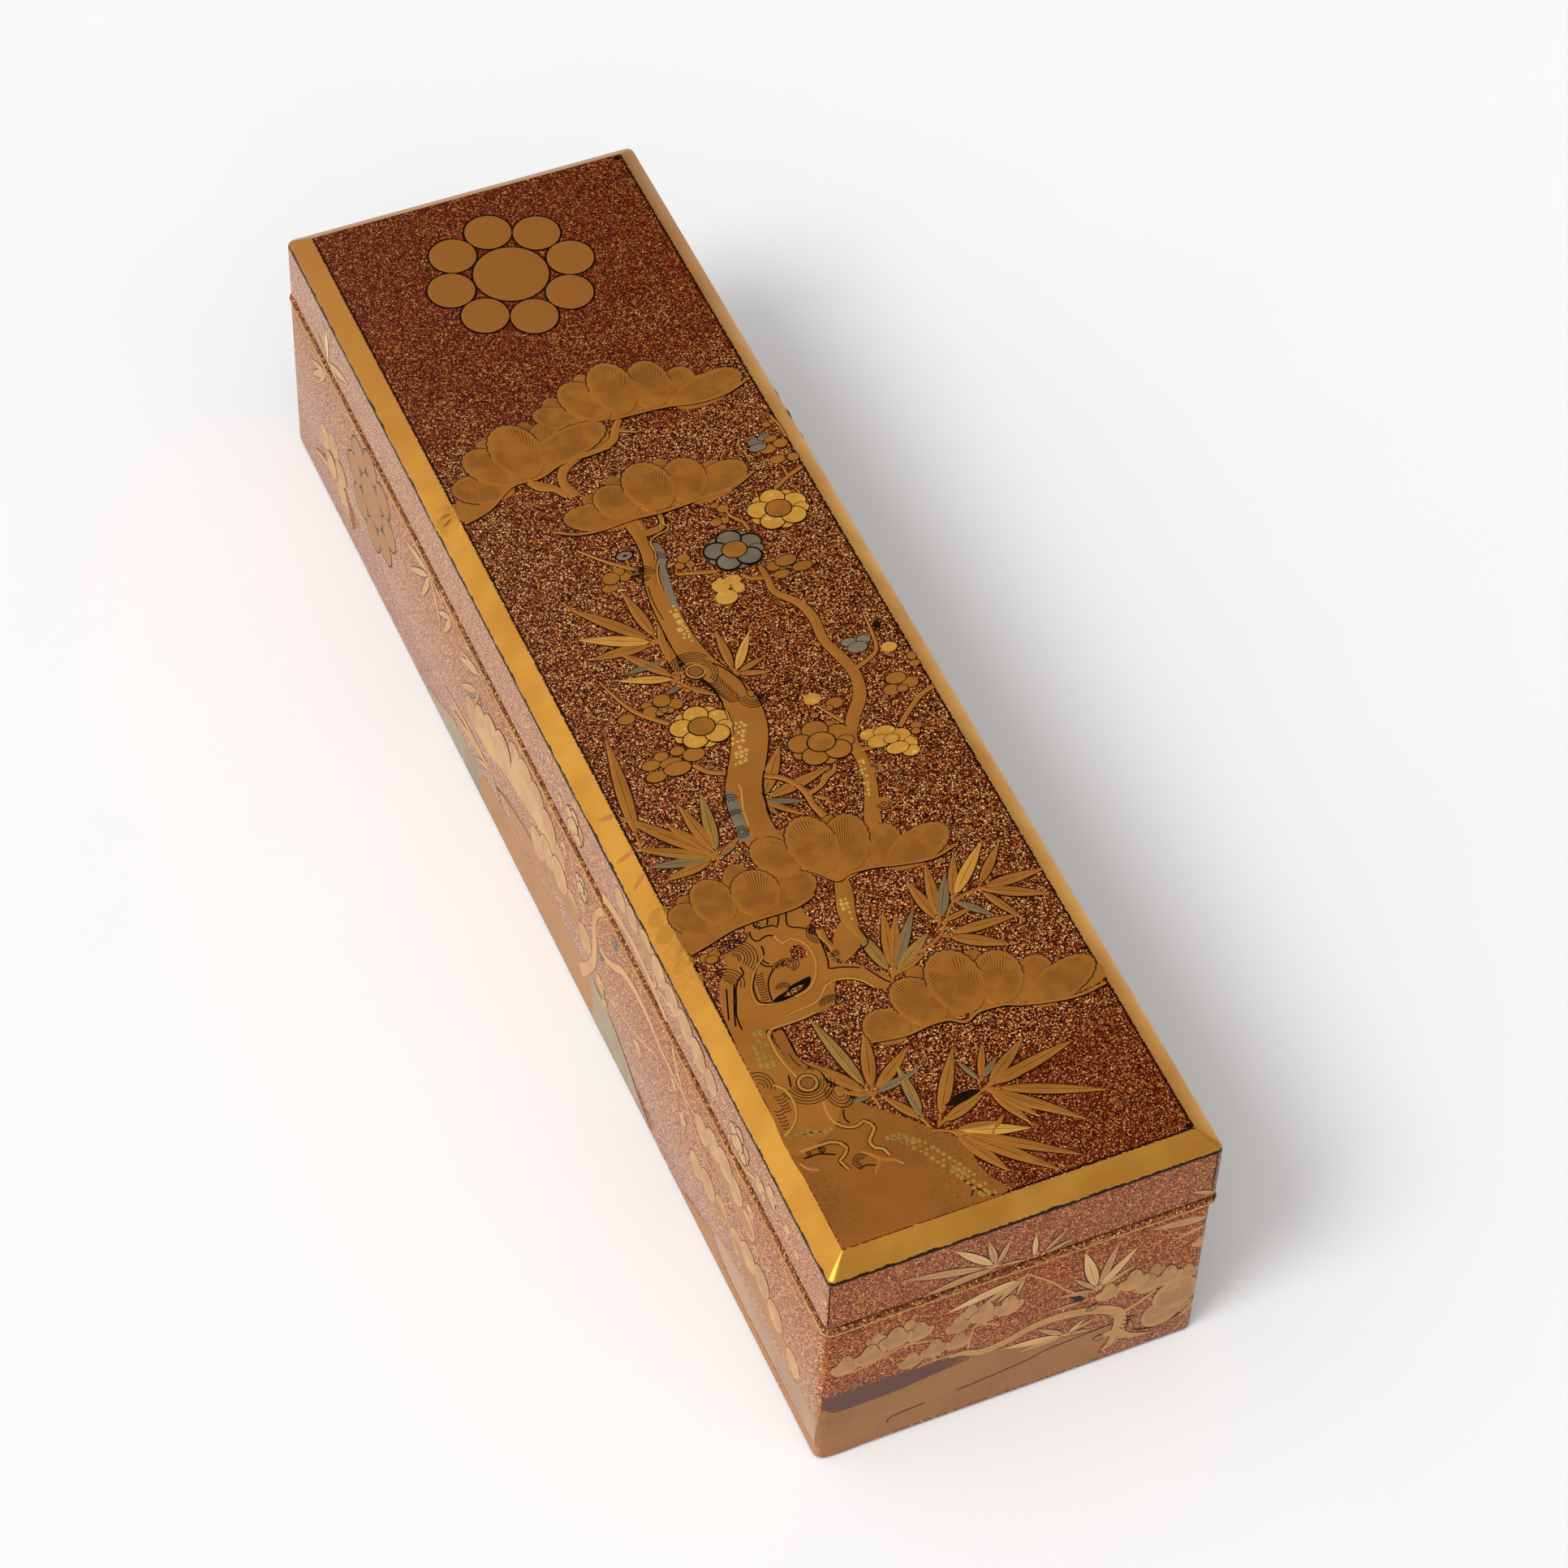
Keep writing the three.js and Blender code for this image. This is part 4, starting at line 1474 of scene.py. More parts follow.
for y, turn, width in ((52.6, 28, 3.6), (49.6, 8, 4.2), (46.6, -22, 3.6)):
    angle = math.radians(180 - turn)
    stalk = (-31.9, 48.6)
    clump(stalk, (stalk[0] + 4.1 * math.cos(angle), y), width, 0.06, 0.1, "clump", "spill", "spill")
bend_over_arris(relief("pine_spill_far", "left_bevel"))
for y, width in ((-50.8, 4.2), (-54.6, 4.6), (-58.6, 4.4), (-62.0, 3.6), (-66.0, 3.4)):
    clump((-31.4, y - 0.6), (-35.3, y + 0.5), width, 0.06, 0.1, "clump", "spill", "spill")
bend_over_arris(relief("pine_spill_near", "left_bevel"))
print("needles on the left bevel laid")

# %% [markdown]
# ## The old pine's trunk
#
# The trunk winds up the middle of the top. It is one broad stroke over a slightly
# wider black one, which leaves a dark outline. Bark knots are drawn as rings inside
# each other and as ripples that run down from them, in black lines a sixth of a
# millimetre wide. Silver patches of lichen and squares of cut gold lie on it.

# %% Knots, ripples and cut gold
fine_line = 0.16


def outlined(points, widths, height=0.3, border=0.34, lift=0.0):
    """A stroke of bark over a wider black one. Widths has a number for each point."""
    stroke(points, [w + border for w in widths], "ink", 0.08, lift)
    stroke(points, widths, "bark", height, lift + 0.02)


def oval(middle, across, along, turn=0.0):
    """Points on a closed oval, to draw as a ring or to fill."""
    count = 8
    points = []
    for i in range(count):
        angle = 2 * math.pi * i / count
        x = across * math.cos(angle)
        y = along * math.sin(angle)
        points.append((
            middle[0] + x * math.cos(turn) - y * math.sin(turn),
            middle[1] + x * math.sin(turn) + y * math.cos(turn),
        ))
    return points


def knot(middle, across, along, turn, rings, lift):
    """A bark knot: an oval with rings inside each other."""
    patch(oval(middle, across, along, turn), "bark", 0.1, lift, 0.6)
    for i in range(rings):
        share = 1 - i / (rings + 0.6)
        ink(oval(middle, across * share, along * share, turn), fine_line, lift + 0.04, closed=True)


def ripples(start, end, half_width, count, lift, sag=0.55):
    """Curved lines one after another, like ripples that run down the bark."""
    length, angle = direction(start, end)
    for i in range(count):
        share = i / max(count - 1, 1)
        wide = half_width * (1 - 0.25 * share)
        points = []
        for t in (-1, -0.6, 0, 0.6, 1):
            way = share * length + sag * wide * (1 - t * t)
            points.append((
                start[0] + way * math.cos(angle) - t * wide * math.sin(angle),
                start[1] + way * math.sin(angle) + t * wide * math.cos(angle),
            ))
        ink(points, fine_line, lift)


squares_dice = random.Random(7)


def cut_gold(points, size, rows, lift, finish="cut"):
    """Small squares of cut gold leaf along a path, a little uneven."""
    for x, y in smooth_path(points, size * 1.15):
        for row in range(rows):
            if squares_dice.random() < 0.2:
                continue
            edge = size * squares_dice.uniform(0.55, 1.0)
            aside = (row - (rows - 1) / 2) * size * 1.1
            at = (x + aside, y + squares_dice.uniform(-0.15, 0.15) * size)
            turn = squares_dice.uniform(-0.2, 0.2)
            lay("square", at, (edge, edge, 0.14), turn, lift, finish)


def ridge(points, width=0.5, lift=0.16):
    """A raised line between two black ones, in a lighter gold that is a painted highlight on the ridge."""
    ink(points, width + 0.34, lift - 0.03)
    stroke(points, width, "edge", 0.2, lift)


def arcs(middle, start, end, radii, lift=0.18, squash=1.0):
    """Part rings round a middle, from one angle to another in degrees."""
    for radius in radii:
        points = []
        for i in range(7):
            angle = math.radians(start + (end - start) * i / 6)
            points.append((
                middle[0] + radius * math.cos(angle), middle[1] + radius * squash * math.sin(angle),
            ))
        ink(points, fine_line, lift)


print("bark tools ready")

# %% Trunk on the top
trunk_points = [
    (-3.2, 34.8), (-3.1, 31), (-3.2, 27), (-3.9, 23.4), (-4.7, 20), (-5.3, 14.3), (-5.5, 7), (-5.2, 1.8),
    (-4.2, -2), (-2.5, -6), (-1.6, -10), (-1.6, -14), (-2.4, -18.4), (-4.4, -23), (-7.0, -27.6),
    (-9.3, -32), (-10.2, -37), (-10.3, -42), (-9.6, -46),
]
trunk_widths = [3.0, 2.3, 2.4, 2.6, 3.6, 4.3, 4.5, 5, 4.8, 4.8, 5.8, 6.4, 6.5, 6.4, 6.3, 6.4, 6.2, 6.2, 6]
outlined(trunk_points, trunk_widths, border=0.5)
outlined([(2.4, 35), (2.2, 32.6), (0.8, 31.4), (-2.4, 31.3)], [0.9, 1.0, 1.5, 1.6], lift=0.02, border=0.6)
outlined([(-1.8, 34.6), (-1.6, 32)], [1.1, 1.1], lift=0.02)
ridge([(2.5, 33.2), (2.2, 32.1), (2.8, 31.2), (2.4, 30.5), (0.4, 30.1), (-1.4, 29.4), (-1.9, 28.6),
       (-1.9, 26.6), (-2.4, 24.5)], 0.3, 0.24)
patch([(-1.6, 28.6), (-0.7, 28.2), (-0.3, 26), (-0.6, 24), (-1.5, 22.4), (-1.9, 20), (-2.4, 17), (-2.9, 14),
       (-3.1, 11.5), (-3.7, 12.6), (-3.9, 16), (-3.3, 20), (-2.3, 23.4), (-1.7, 26)], "silver", 0.1, 0.24)
ridge([(-2.2, 24), (-3.2, 22.2), (-3.9, 20), (-4.3, 17)], 0.3, 0.26)
arcs((-0.6, 25.8), 150, 290, (0.4, 0.8, 1.2, 1.6), 0.3)
arcs((-5.9, 21.7), 200, -10, (0.45, 0.9, 1.35, 1.8, 2.25), 0.26)
arcs((-5.9, 21.4), 190, 350, (0.45, 0.9), 0.26)
ink([(-6.3, 19), (-6.7, 17), (-6.9, 13.6), (-6.8, 10.6)], fine_line, 0.3)
# The knot's rim in the lighter edge gold is a painted highlight.
for across, along, finish, height in (
    (2.1, 1.9, "ink", 0.03), (1.9, 1.7, "edge", 0.06), (1.5, 1.25, "ink", 0.08), (1.35, 1.1, "brown", 0.1),
):
    patch(oval((-6.2, -2.9), across, along, -0.5), finish, height, 0.24, 0.6)
arcs((-6.6, -2.4), 165, 30, (2.3, 2.8, 3.3, 3.8, 4.3), 0.26, 0.95)
arcs((-5.6, -3.6), 60, -60, (2.2, 2.7, 3.2), 0.26)
ripples((-4.4, -5.4), (-2.4, -11.2), 1.6, 12, 0.28, 0.75)
ink([(-5.9, -5.2), (-4.9, -8), (-4.6, -11.4)], 0.4, 0.24)
ink([(-2.6, -2.2), (-1.2, -4), (0.4, -7.4), (0.6, -10.4)], 0.3, 0.22)
arcs((0.9, -11.3), 0, 360, (0.75,), 0.3, 1.3)
arcs((0.9, -11.6), 175, 345, (1.3, 1.75, 2.2, 2.7), 0.28, 1.1)
ridge([(-4.7, -13.4), (-5, -16), (-5.8, -18.8)], 0.3, 0.22)
patch([(-12, -30.2), (-11.2, -31), (-10.9, -33), (-11.3, -36), (-11.8, -39.4), (-12.3, -42), (-14.0, -41.8),
       (-13.6, -38), (-13.2, -34.4), (-12.6, -31.8)], "silver", 0.12, 0.2)
ridge([(-9.3, -29.9), (-9.3, -31), (-10, -33), (-10.9, -36), (-11.2, -39)], 0.35, 0.24)
arcs((-12, -33.2), 20, 160, (0.6, 1.1, 1.6), 0.32, 1.2)
arcs((-12.4, -36.2), 20, 160, (0.6, 1.0, 1.4), 0.32)
arcs((-13.0, -39.8), 0, 360, (0.5, 0.9, 1.3), 0.32)
# Painted shade: a dark line down the trunk's right edge, the side away from the light.
ink([(-3.9, -28.6), (-5.2, -31), (-6.2, -34), (-6.9, -38)], 0.4, 0.2)
for x, y, edge in (
    (-4.2, 10.6, 1.15), (-4.2, 8.95, 1.2), (-4.9, 7.2, 1.05), (-3.8, 12.9, 0.5), (-4.8, 11.9, 0.5),
    (-3.8, 11.9, 0.55), (-4.0, 7.9, 0.5), (-3.8, 7.2, 0.55), (-3.8, 6.4, 0.5), (-4.6, 6, 0.5),
    (-3.8, 5.6, 0.45), (-4.9, 5.2, 0.5), (-4, 5.0, 0.5), (-3.9, 4, 0.4),
):
    lay("square", (x, y), (edge, edge, 0.14), 0.1, 0.32, "cut")
cut_gold([(-3.3, -16.8), (-4.6, -18.8), (-5.6, -20.8), (-5.9, -23.2), (-7, -25.4)], 0.85, 3, 0.32)
relief("pine_trunk_top", "top")

# %% Twisting branches between the boughs
outlined(
    [(4.6, 59.6), (3, 57.6), (1.6, 55.2), (-1.5, 53.8), (-6, 53.4), (-9.6, 51.6), (-11, 48.6), (-10.2, 44.4)],
    [1.3, 1.5, 1.6, 1.4, 1.5, 1.9, 1.7, 2.6], lift=0.1,
)
outlined([(-17, 51.6), (-15.4, 49.2), (-13, 47.6), (-11.4, 45)], [1.4, 2.2, 1.6, 1.4], lift=0.1)
outlined([(2.9, 57.4), (4.6, 56.4), (6.6, 55.4)], [0.8, 0.6, 0.3], lift=0.06)
outlined([(-3.6, -52.8), (-1.4, -54.8), (-1.7, -58), (-3.4, -63.4), (-3.2, -68.4)], [1.4, 2.0, 3.0, 3.0, 1.2])
outlined([(-1.6, -56), (0.6, -55.6), (3.4, -55.2)], [1.2, 0.9, 0.4], lift=0.05)
cut_gold([(-2.6, -59.5), (-3.4, -64.5)], 0.75, 2, 0.32)
patch([(-7, -66), (-4, -64), (-2.6, -68), (-5, -71), (-8, -72.2), (-8.6, -69.6)], "bark", 0.18)
ink([(-2.8, -66), (-2.4, -70), (-5, -71.2)], 0.3, 0.16)
relief("pine_branches_top", "top")
print("trunk and branches laid")

# %% Root and slope at the near left corner
patch(
    [
        (-20.5, -58.4), (-17, -58.4), (-13, -58.4), (-10.2, -58.6), (-10, -60.4), (-9.5, -62), (-10.4, -63.2),
        (-11.4, -64), (-10.2, -65.4), (-9.9, -67.4), (-9.8, -70), (-9.4, -72), (-6.4, -73.6), (-5, -74.8),
        (-3.6, -76.4), (-2.2, -77.4), (-2.3, -79.3), (-3.6, -80.4), (-5.2, -79.6), (-6.6, -77.4), (-8, -76.2),
        (-11, -75.6), (-11.8, -77), (-12.6, -79.2), (-14.6, -80.4), (-17, -80.6), (-25.2, -81.2),
        (-25.4, -86), (-24.8, -90), (-22.4, -91), (-21, -92.6), (-20.8, -95.6), (-19, -96), (-18.6, -98.4),
        (-20.8, -100), (-24, -103.6), (-31.9, -106), (-31.9, -95), (-31.9, -84), (-31.4, -75), (-30.2, -70.4),
        (-28.6, -67.6), (-26.6, -65.8), (-26.4, -63.8), (-24.2, -62.8), (-22, -62.2), (-20.8, -61.2),
    ],
    "bark", 0.2,
)
for outline in (
    [(-15.6, -66.6), (-14.6, -65.9), (-13.6, -66.2), (-13, -67.6), (-13, -68.8), (-14.2, -69.1),
     (-15.5, -69), (-15.9, -68)],
    [(-19.9, -69.6), (-19, -68.6), (-17.6, -68.3), (-16.4, -68.5), (-15.8, -69.1), (-17.4, -69),
     (-18.8, -69.3)],
    [(-19.1, -59.8), (-18.8, -59), (-17.9, -58.9), (-18.2, -60.3)],
):
    patch(outline, "field", 0.02, 0.2, 0.6)
patch([(-22.8, -75.7), (-21.4, -74.9), (-19.4, -74.3), (-18.6, -73.7), (-16.8, -73.3), (-14.6, -73),
       (-15.2, -74.5), (-16.8, -75.4), (-19, -75.9), (-21.2, -76.1)], "ink", 0.02, 0.2, 0.8)
patch([(-20.6, -75.2), (-19.2, -74.6), (-17.6, -74.2), (-16.4, -74.3), (-17, -75), (-18.8, -75.5)],
      "field", 0.03, 0.2, 0.6)
for points in (
    [(-20.4, -60.4), (-20.6, -61.8), (-20.3, -62.6), (-19.6, -62.8), (-18.6, -62.4), (-17.6, -62.3),
     (-16.9, -62.8)],
    [(-19.7, -64), (-19.9, -65.6), (-21.2, -66.8), (-23, -69), (-24.2, -71), (-24.7, -73), (-24.6, -74.8),
     (-22.8, -75.8)],
    [(-19.8, -69.4), (-20.9, -70.4), (-21.8, -71.8), (-22.3, -73.4), (-22.6, -75.4)],
    [(-21.3, -66.6), (-21.2, -67.6), (-20.5, -68.4), (-19.6, -68.7)],
    [(-20.7, -66.4), (-20.6, -67.3), (-20, -68)],
    [(-24.8, -66.8), (-24.8, -68.3), (-26, -69), (-27.2, -70.6), (-28.2, -73), (-29.4, -76),
     (-29.7, -79)],
    [(-27.2, -69.8), (-28.4, -72.6), (-29.6, -75.6), (-30.4, -78)],
    [(-28.8, -70.2), (-29.8, -73), (-31, -76.4)],
    [(-19, -60.2), (-18.9, -58.8), (-14.6, -58.8), (-15.6, -61.2), (-16.2, -60.6), (-18.8, -60.4)],
    [(-16.3, -58.9), (-17, -60.2)], [(-12.9, -58.9), (-13.8, -61.6), (-12.4, -62.6), (-11, -63.5)],
    [(-9.9, -66.4), (-10.1, -69), (-10.5, -71.4), (-10.9, -72.7), (-9, -73.2), (-7, -74), (-6, -74.6)],
    [(-5.2, -74.8), (-4, -77), (-3.2, -78.5), (-2.4, -79.3)],
    [(-24.4, -86.6), (-24.2, -88.4), (-23.6, -89.8)],
    [(-23.2, -88.6), (-22.2, -90.4), (-21, -92), (-20.8, -94.6)], [(-26.2, -90.6), (-26.8, -93)],
):
    ink(points, 0.3, 0.18)
ridge([(-20.2, -66.1), (-22, -67.6), (-23.7, -69.6), (-24.9, -71.8), (-25.3, -73.8), (-24.8, -75.3),
       (-22.8, -76.1)], 0.35)
ridge([(-16.8, -62.8), (-16.5, -64), (-16, -64.8), (-14.6, -64.4), (-13.2, -65.3), (-12.4, -66.8),
       (-12.2, -68.6), (-12.5, -70.8), (-13.4, -72.8), (-15, -74.8), (-16.8, -75.8), (-18.6, -76)])
ridge([(-21.4, -79.2), (-19, -78.8), (-16.4, -78.6), (-14.8, -77.8), (-12.8, -75.8), (-11.6, -75.3),
       (-9.6, -75.6), (-7.8, -76.3), (-6.4, -77.6), (-5.4, -79.2)], 0.45)
ridge([(-16.8, -80.3), (-20, -80.7), (-25.2, -80.8), (-26, -81.6), (-26.2, -84), (-26.2, -86), (-25.7, -89),
       (-25, -91.6)])
ripples((-22.6, -69.2), (-23.5, -74.6), 0.85, 11, 0.2, 0.4)
arcs((-25, -64.7), 100, -60, (0.7, 1.1, 1.8, 2.3, 2.8, 3.4, 4.0))
arcs((-28.2, -69.1), 110, -40, (0.45, 0.8, 1.3, 1.8, 2.4, 3.0))
arcs((-17.6, -69.5), 180, -70, (0.4, 0.8, 1.5, 2.0, 2.5), squash=0.6)
arcs((-19.8, -73.7), 170, -20, (0.5, 0.9, 1.3), squash=0.9)
arcs((-13.4, -79.4), 190, 10, (0.4, 0.8, 1.3, 1.7, 2.1), squash=0.7)
arcs((-9.2, -65), 110, 240, (1.1, 1.6, 2.0, 2.4))
outlined([(-9.1, -64.5), (-9.2, -66), (-8.9, -67.8), (-8.5, -69.4), (-8.6, -71.2)],
         [1.4, 1.4, 0.8, 1.5, 0.9], lift=0.1)
arcs((-8.6, -70.2), 0, 360, (0.25, 0.55), 0.38, 1.3)
relief("pine_root_top", "top")

# %% Lower root with its knots
patch([(-25.2, -81.6), (-23.5, -81.6), (-23.4, -87.6), (-22.2, -89.6), (-23.6, -91), (-25, -90)],
      "ground", 0.06, 0.2)
ink([(-23.3, -81.4), (-23.3, -88.2)], 0.4, 0.1)
# The knot's rim in the lighter edge gold is a painted highlight.
for radius, finish, height, lift in (
    (2.0, "ink", 0.04, 0.22), (1.8, "edge", 0.06, 0.24), (1.3, "ink", 0.07, 0.26),
    (1.15, "brown", 0.08, 0.27),
):
    disc((-23.9, -93.3), radius, finish, height, lift)
arcs((-23.9, -92.9), 190, 350, (2.4, 2.9, 3.5, 4.1, 4.7))
disc((-19.8, -97.2), 0.7, "bark", 0.06, 0.22)
arcs((-19.8, -97), 150, 330, (0.8, 1.3, 1.8, 2.3), squash=1.4)
ridge([(-29.3, -91.6), (-28, -93), (-27.6, -95.4), (-28, -98), (-29.4, -100.2), (-31.7, -101.8)])
ripples((-29.4, -93.8), (-29.2, -97.2), 0.9, 6, 0.18, 0.4)
ripples((-30.6, -96.6), (-30.8, -100.4), 0.8, 6, 0.18, 0.4)
arcs((-31.6, -91), 100, -30, (0.7, 1.3, 1.9, 2.5), squash=1.2)
cut_gold([(-28.0, -80.6), (-28, -83.4), (-28.6, -88)], 0.95, 3, 0.2, "cut_dim")
cut_gold([(-30.6, -101.9), (-27.6, -102.8), (-25, -103.4)], 1.0, 3, 0.2, "cut_dim")
relief("pine_lower_root_top", "top")

# %% Slope with its gnarled roots
patch([(-31.9, -103), (-25, -101), (-21.4, -100.6), (-18.9, -98.7), (-16.6, -101), (-14, -103.6),
       (-11.4, -106.2), (-9, -108.9), (-7, -111), (-5.2, -113.2), (-4.4, -116), (-4.4, -119),
       (-3.4, -122.4), (-1.8, -125.2), (-4, -125.9), (-12, -125.9), (-22, -125.9), (-30.6, -125.9),
       (-31.9, -125.9), (-31.9, -124.6), (-31.9, -114)], "ground", 0.14)
ink([(-20.6, -100.6), (-21.1, -102), (-20.8, -103.4)], 0.28, 0.12)
ridge([(-22.9, -97.8), (-23.3, -100.2), (-22.8, -102.6), (-21.4, -104), (-19.8, -104.4), (-18.4, -103.9),
       (-17.6, -104.7), (-17.3, -105.8), (-18.3, -107), (-19.2, -108.1), (-18.8, -109.6), (-17.7, -110.2),
       (-17.2, -111.8)], 0.55, 0.14)
ridge([(-30.6, -105.6), (-28, -105.7), (-25.4, -105.7), (-23.7, -106.6), (-23.2, -107.8), (-24.2, -109.1),
       (-25.3, -109.8), (-24.9, -111), (-24.6, -112)], 0.55, 0.14)
ink([(-30.6, -107.2), (-28, -107.2), (-25.4, -108.4)], 0.3, 0.12)
arcs((-30, -106.5), -80, 80, (0.4, 0.8))
arcs((-27.8, -106.6), -80, 80, (0.4, 0.8, 1.2), squash=0.6)
outlined([(-31.6, -107.8), (-30.4, -109.4), (-29.2, -110)], [0.4, 0.8, 0.7], border=0.4, lift=0.02)
outlined([(-21.2, -109.4), (-19.8, -110.6), (-18.6, -112), (-16.8, -112.8), (-15.7, -114.2)],
         [0.5, 0.8, 1.1, 0.8, 0.4], border=0.5, lift=0.06)
outlined([(-18.8, -112), (-20, -113.3), (-20.9, -114.5)], [0.9, 0.7, 0.4], border=0.5, lift=0.06)
arcs((-22, -111.2), 30, 250, (0.6, 1.0, 1.5), 0.12)
ink([(-23, -112.4), (-21.4, -112.2), (-20, -113)], 0.26, 0.12)
cut_gold([(-15, -108.6), (-13.2, -110.2), (-11, -113), (-8.8, -117), (-7, -120.6), (-5.2, -125)], 0.95, 3,
         0.14, "cut_dim")
ink([(-8, -121), (-6.6, -123.4), (-4.6, -125.7)], 0.3, 0.12)
ink([(-8.2, -124.4), (-7, -122.9)], 0.24, 0.12)
relief("slope_top", "top", "gold_ground")
print("root and slope laid")

# %% [markdown]
# ## Plum tree
#
# A thin plum branch climbs beside the trunk, with blossoms seen from the front, from
# the side, and in bud. A front blossom is a ring of petals round a flat heart with
# fine radial lines; a side blossom shows three or four petals in a fan. Some are
# polished bright, some are silver that has turned grey, and one bud is plain black.

# %% Blossoms
def petal_over(at, across, along, finish, order, border):
    """One petal on its own black rim; a higher order lies over the ones before."""
    squash = (along + border) / (across + border)
    disc(at, across + border, "ink", 0.04, layer_step * order + 0.02, squash)
    disc(at, across, finish, 0.06, layer_step * order + 0.03, along / across)


def ring_of_petals(at, reach, size, finish, squash, turn, order, border=0.16):
    """Five petals round a middle, each over the one before it."""
    for i, middle in enumerate(around(at, reach, 5, turn, squash)):
        petal_over(middle, size, size * squash, finish, order + i, border)


def blossom(at, radius, finish, squash=0.84):
    """A blossom from the front: five small petals, five large over them, and the heart.
    A silver one lies on a wider one of gold."""
    turn = 0.3
    reach = 0.6 * radius
    size = 0.38 * radius
    under = 0
    border = 0.22
    if finish == "silver":
        under = 1
        border = 0.4
        for middle in around(at, reach, 5, turn, squash):
            disc(middle, size + 0.65, "ink", 0.02, 0.0, squash)
            disc(middle, size + 0.55, "petal", 0.03, 0.01, squash)
    ring_of_petals(at, 0.72 * radius, 0.24 * radius, finish, squash, turn + math.pi / 5, under)
    ring_of_petals(at, reach, size, finish, squash, turn, under + 2, border)
    disc(at, 0.44 * radius, "ink", 0.04, 0.5, squash)
    disc(at, 0.4 * radius, "heart", 0.08, 0.51, squash)


def petals(shapes, finish="petal", border=0.15):
    """Petals given by middle, half width and half height; later ones lie over earlier."""
    for order, (x, y, across, along) in enumerate(shapes):
        petal_over((x, y), across, along, finish, order, border)


def side_blossom(at, radius, turn, finish, border):
    """A blossom from the side: petals in a fan, and one in front."""
    shapes = []
    for lean, way, size in ((-1.0, 0.6, 0.42), (1.0, 0.6, 0.42), (0.0, 0.6, 0.52), (2.6, 0.2, 0.4)):
        angle = turn + math.pi / 2 - lean
        x = at[0] + way * radius * math.cos(angle)
        y = at[1] + way * radius * math.sin(angle)
        shapes.append((x, y, radius * size, radius * size * 0.88))
    petals(shapes, finish, border)


print("blossom tools ready")

# %% Plum branch on the top
outlined([(-0.3, 19.9), (3.4, 18.8), (6.7, 17.9)], [0.8, 0.8, 0.9])
outlined([(10.6, 15.6), (11.8, 14), (14, 13.3)], [0.7, 0.9, 1.0])
outlined([(14.5, 16.2), (14.6, 13), (14.5, 9.4), (17.4, 5.4), (18.5, 1), (18.1, -4.5), (19.5, -10.2),
          (20, -14.3), (18.7, -19), (15.4, -23.4), (13.2, -27.6), (13.2, -31.6), (12.4, -37.6),
          (9.4, -45.4), (8.4, -48.8)],
         [0.9, 1.3, 1.4, 1.7, 1.9, 1.9, 2.2, 2.2, 2.4, 2.4, 2.2, 2.2, 2.3, 3.0, 3.2], height=0.2)
outlined([(18.1, 4.6), (18.7, 5.6)], [0.9, 0.7], lift=0.1)
outlined([(16.9, -5.6), (16.3, -4.6)], [1.0, 0.8], lift=0.1)
outlined([(20, -13), (23.4, -11.8), (26, -10), (26.9, -6), (27.3, -1.2)], [1.0, 0.8, 0.7, 0.6, 0.3])
outlined([(13.6, -23.6), (12.2, -21), (10.8, -18.4)], [0.7, 0.6, 0.3])
outlined([(22.4, -28.2), (25.4, -25.4), (29, -22.8), (31.8, -21.8)], [0.9, 0.9, 0.9, 1.0])
outlined([(28.2, -23.2), (27.8, -21.6)], [0.5, 0.4])
outlined([(16.6, -30.8), (13.8, -30.4), (11.6, -30.2)], [0.9, 0.9, 0.8])
outlined([(-4.4, -29.7), (-1.6, -31.4), (0.2, -34), (1.0, -36.6), (0.9, -38.8), (1.8, -42)],
         [0.9, 1.0, 1.0, 1.3, 1.1, 1.5], lift=0.2)
outlined([(1.0, -36.4), (4.0, -35.4), (5.6, -33.8), (7.4, -33.2), (8.2, -31.8)],
         [1.0, 0.9, 1.3, 0.9, 0.5], lift=0.2)
patch(oval((12.3, -43.2), 1.9, 1.6), "bark", 0.22)
patch(oval((14.3, -35.2), 1.4, 1.1), "bark", 0.2)
arcs((12.5, -43.2), 0, 360, (0.4,), 0.24)
arcs((12.5, -43.4), 160, 380, (0.85, 1.25), 0.24)
arcs((14.2, -35.2), 120, -70, (0.4, 0.75), 0.22)
outlined([(-14.9, 31.9), (-10.6, 27), (-6.4, 23.4)], [0.4, 0.7, 0.8])
outlined([(-7.6, 24.8), (-7.4, 26.6)], [0.4, 0.4])
outlined([(-8.4, 22.8), (-6.6, 22.8)], [0.4, 0.6])
outlined([(-23, 1.3), (-21.4, -4), (-19.3, -8.2), (-15.2, -12.4)], [0.3, 0.6, 0.9, 0.9])
outlined([(-14.8, -22.7), (-13, -25.2), (-10.4, -26.4)], [1.0, 0.9, 1.1])
outlined([(24.8, 32.8), (28.4, 34.8), (31.4, 36)], [0.8, 0.8, 0.7])
outlined([(28.2, 34.8), (28.2, 37.4)], [0.5, 0.4])
outlined([(16.2, 25), (16, 27.2), (14.4, 29.4), (14.2, 31)], [0.7, 0.7, 0.6, 0.3])
outlined([(31.2, 50), (31.8, 47), (31.8, 44)], [0.4, 0.5, 0.4])
outlined([(2.6, 21), (2.6, 19.6)], [0.3, 0.4])
cut_gold([(12.8, -33), (11.8, -37), (10.6, -40.6)], 0.6, 2, 0.3)
relief("plum_branch_top", "top")

# %% Plum blossoms on the top
front_blossoms = [
    ((23.2, 27.8), 6.0, "shine"), ((11.7, 21.4), 5.7, "silver"), ((-10.2, -15.2), 5.9, "shine"),
    ((8, -26.4), 6.2, "petal"),
]
for number, (at, radius, finish) in enumerate(front_blossoms, 1):
    blossom(at, radius, finish)
    relief(f"plum_blossom_top_{number}", "top", "maki_e_silver" if finish == "silver" else "maki_e_gold")

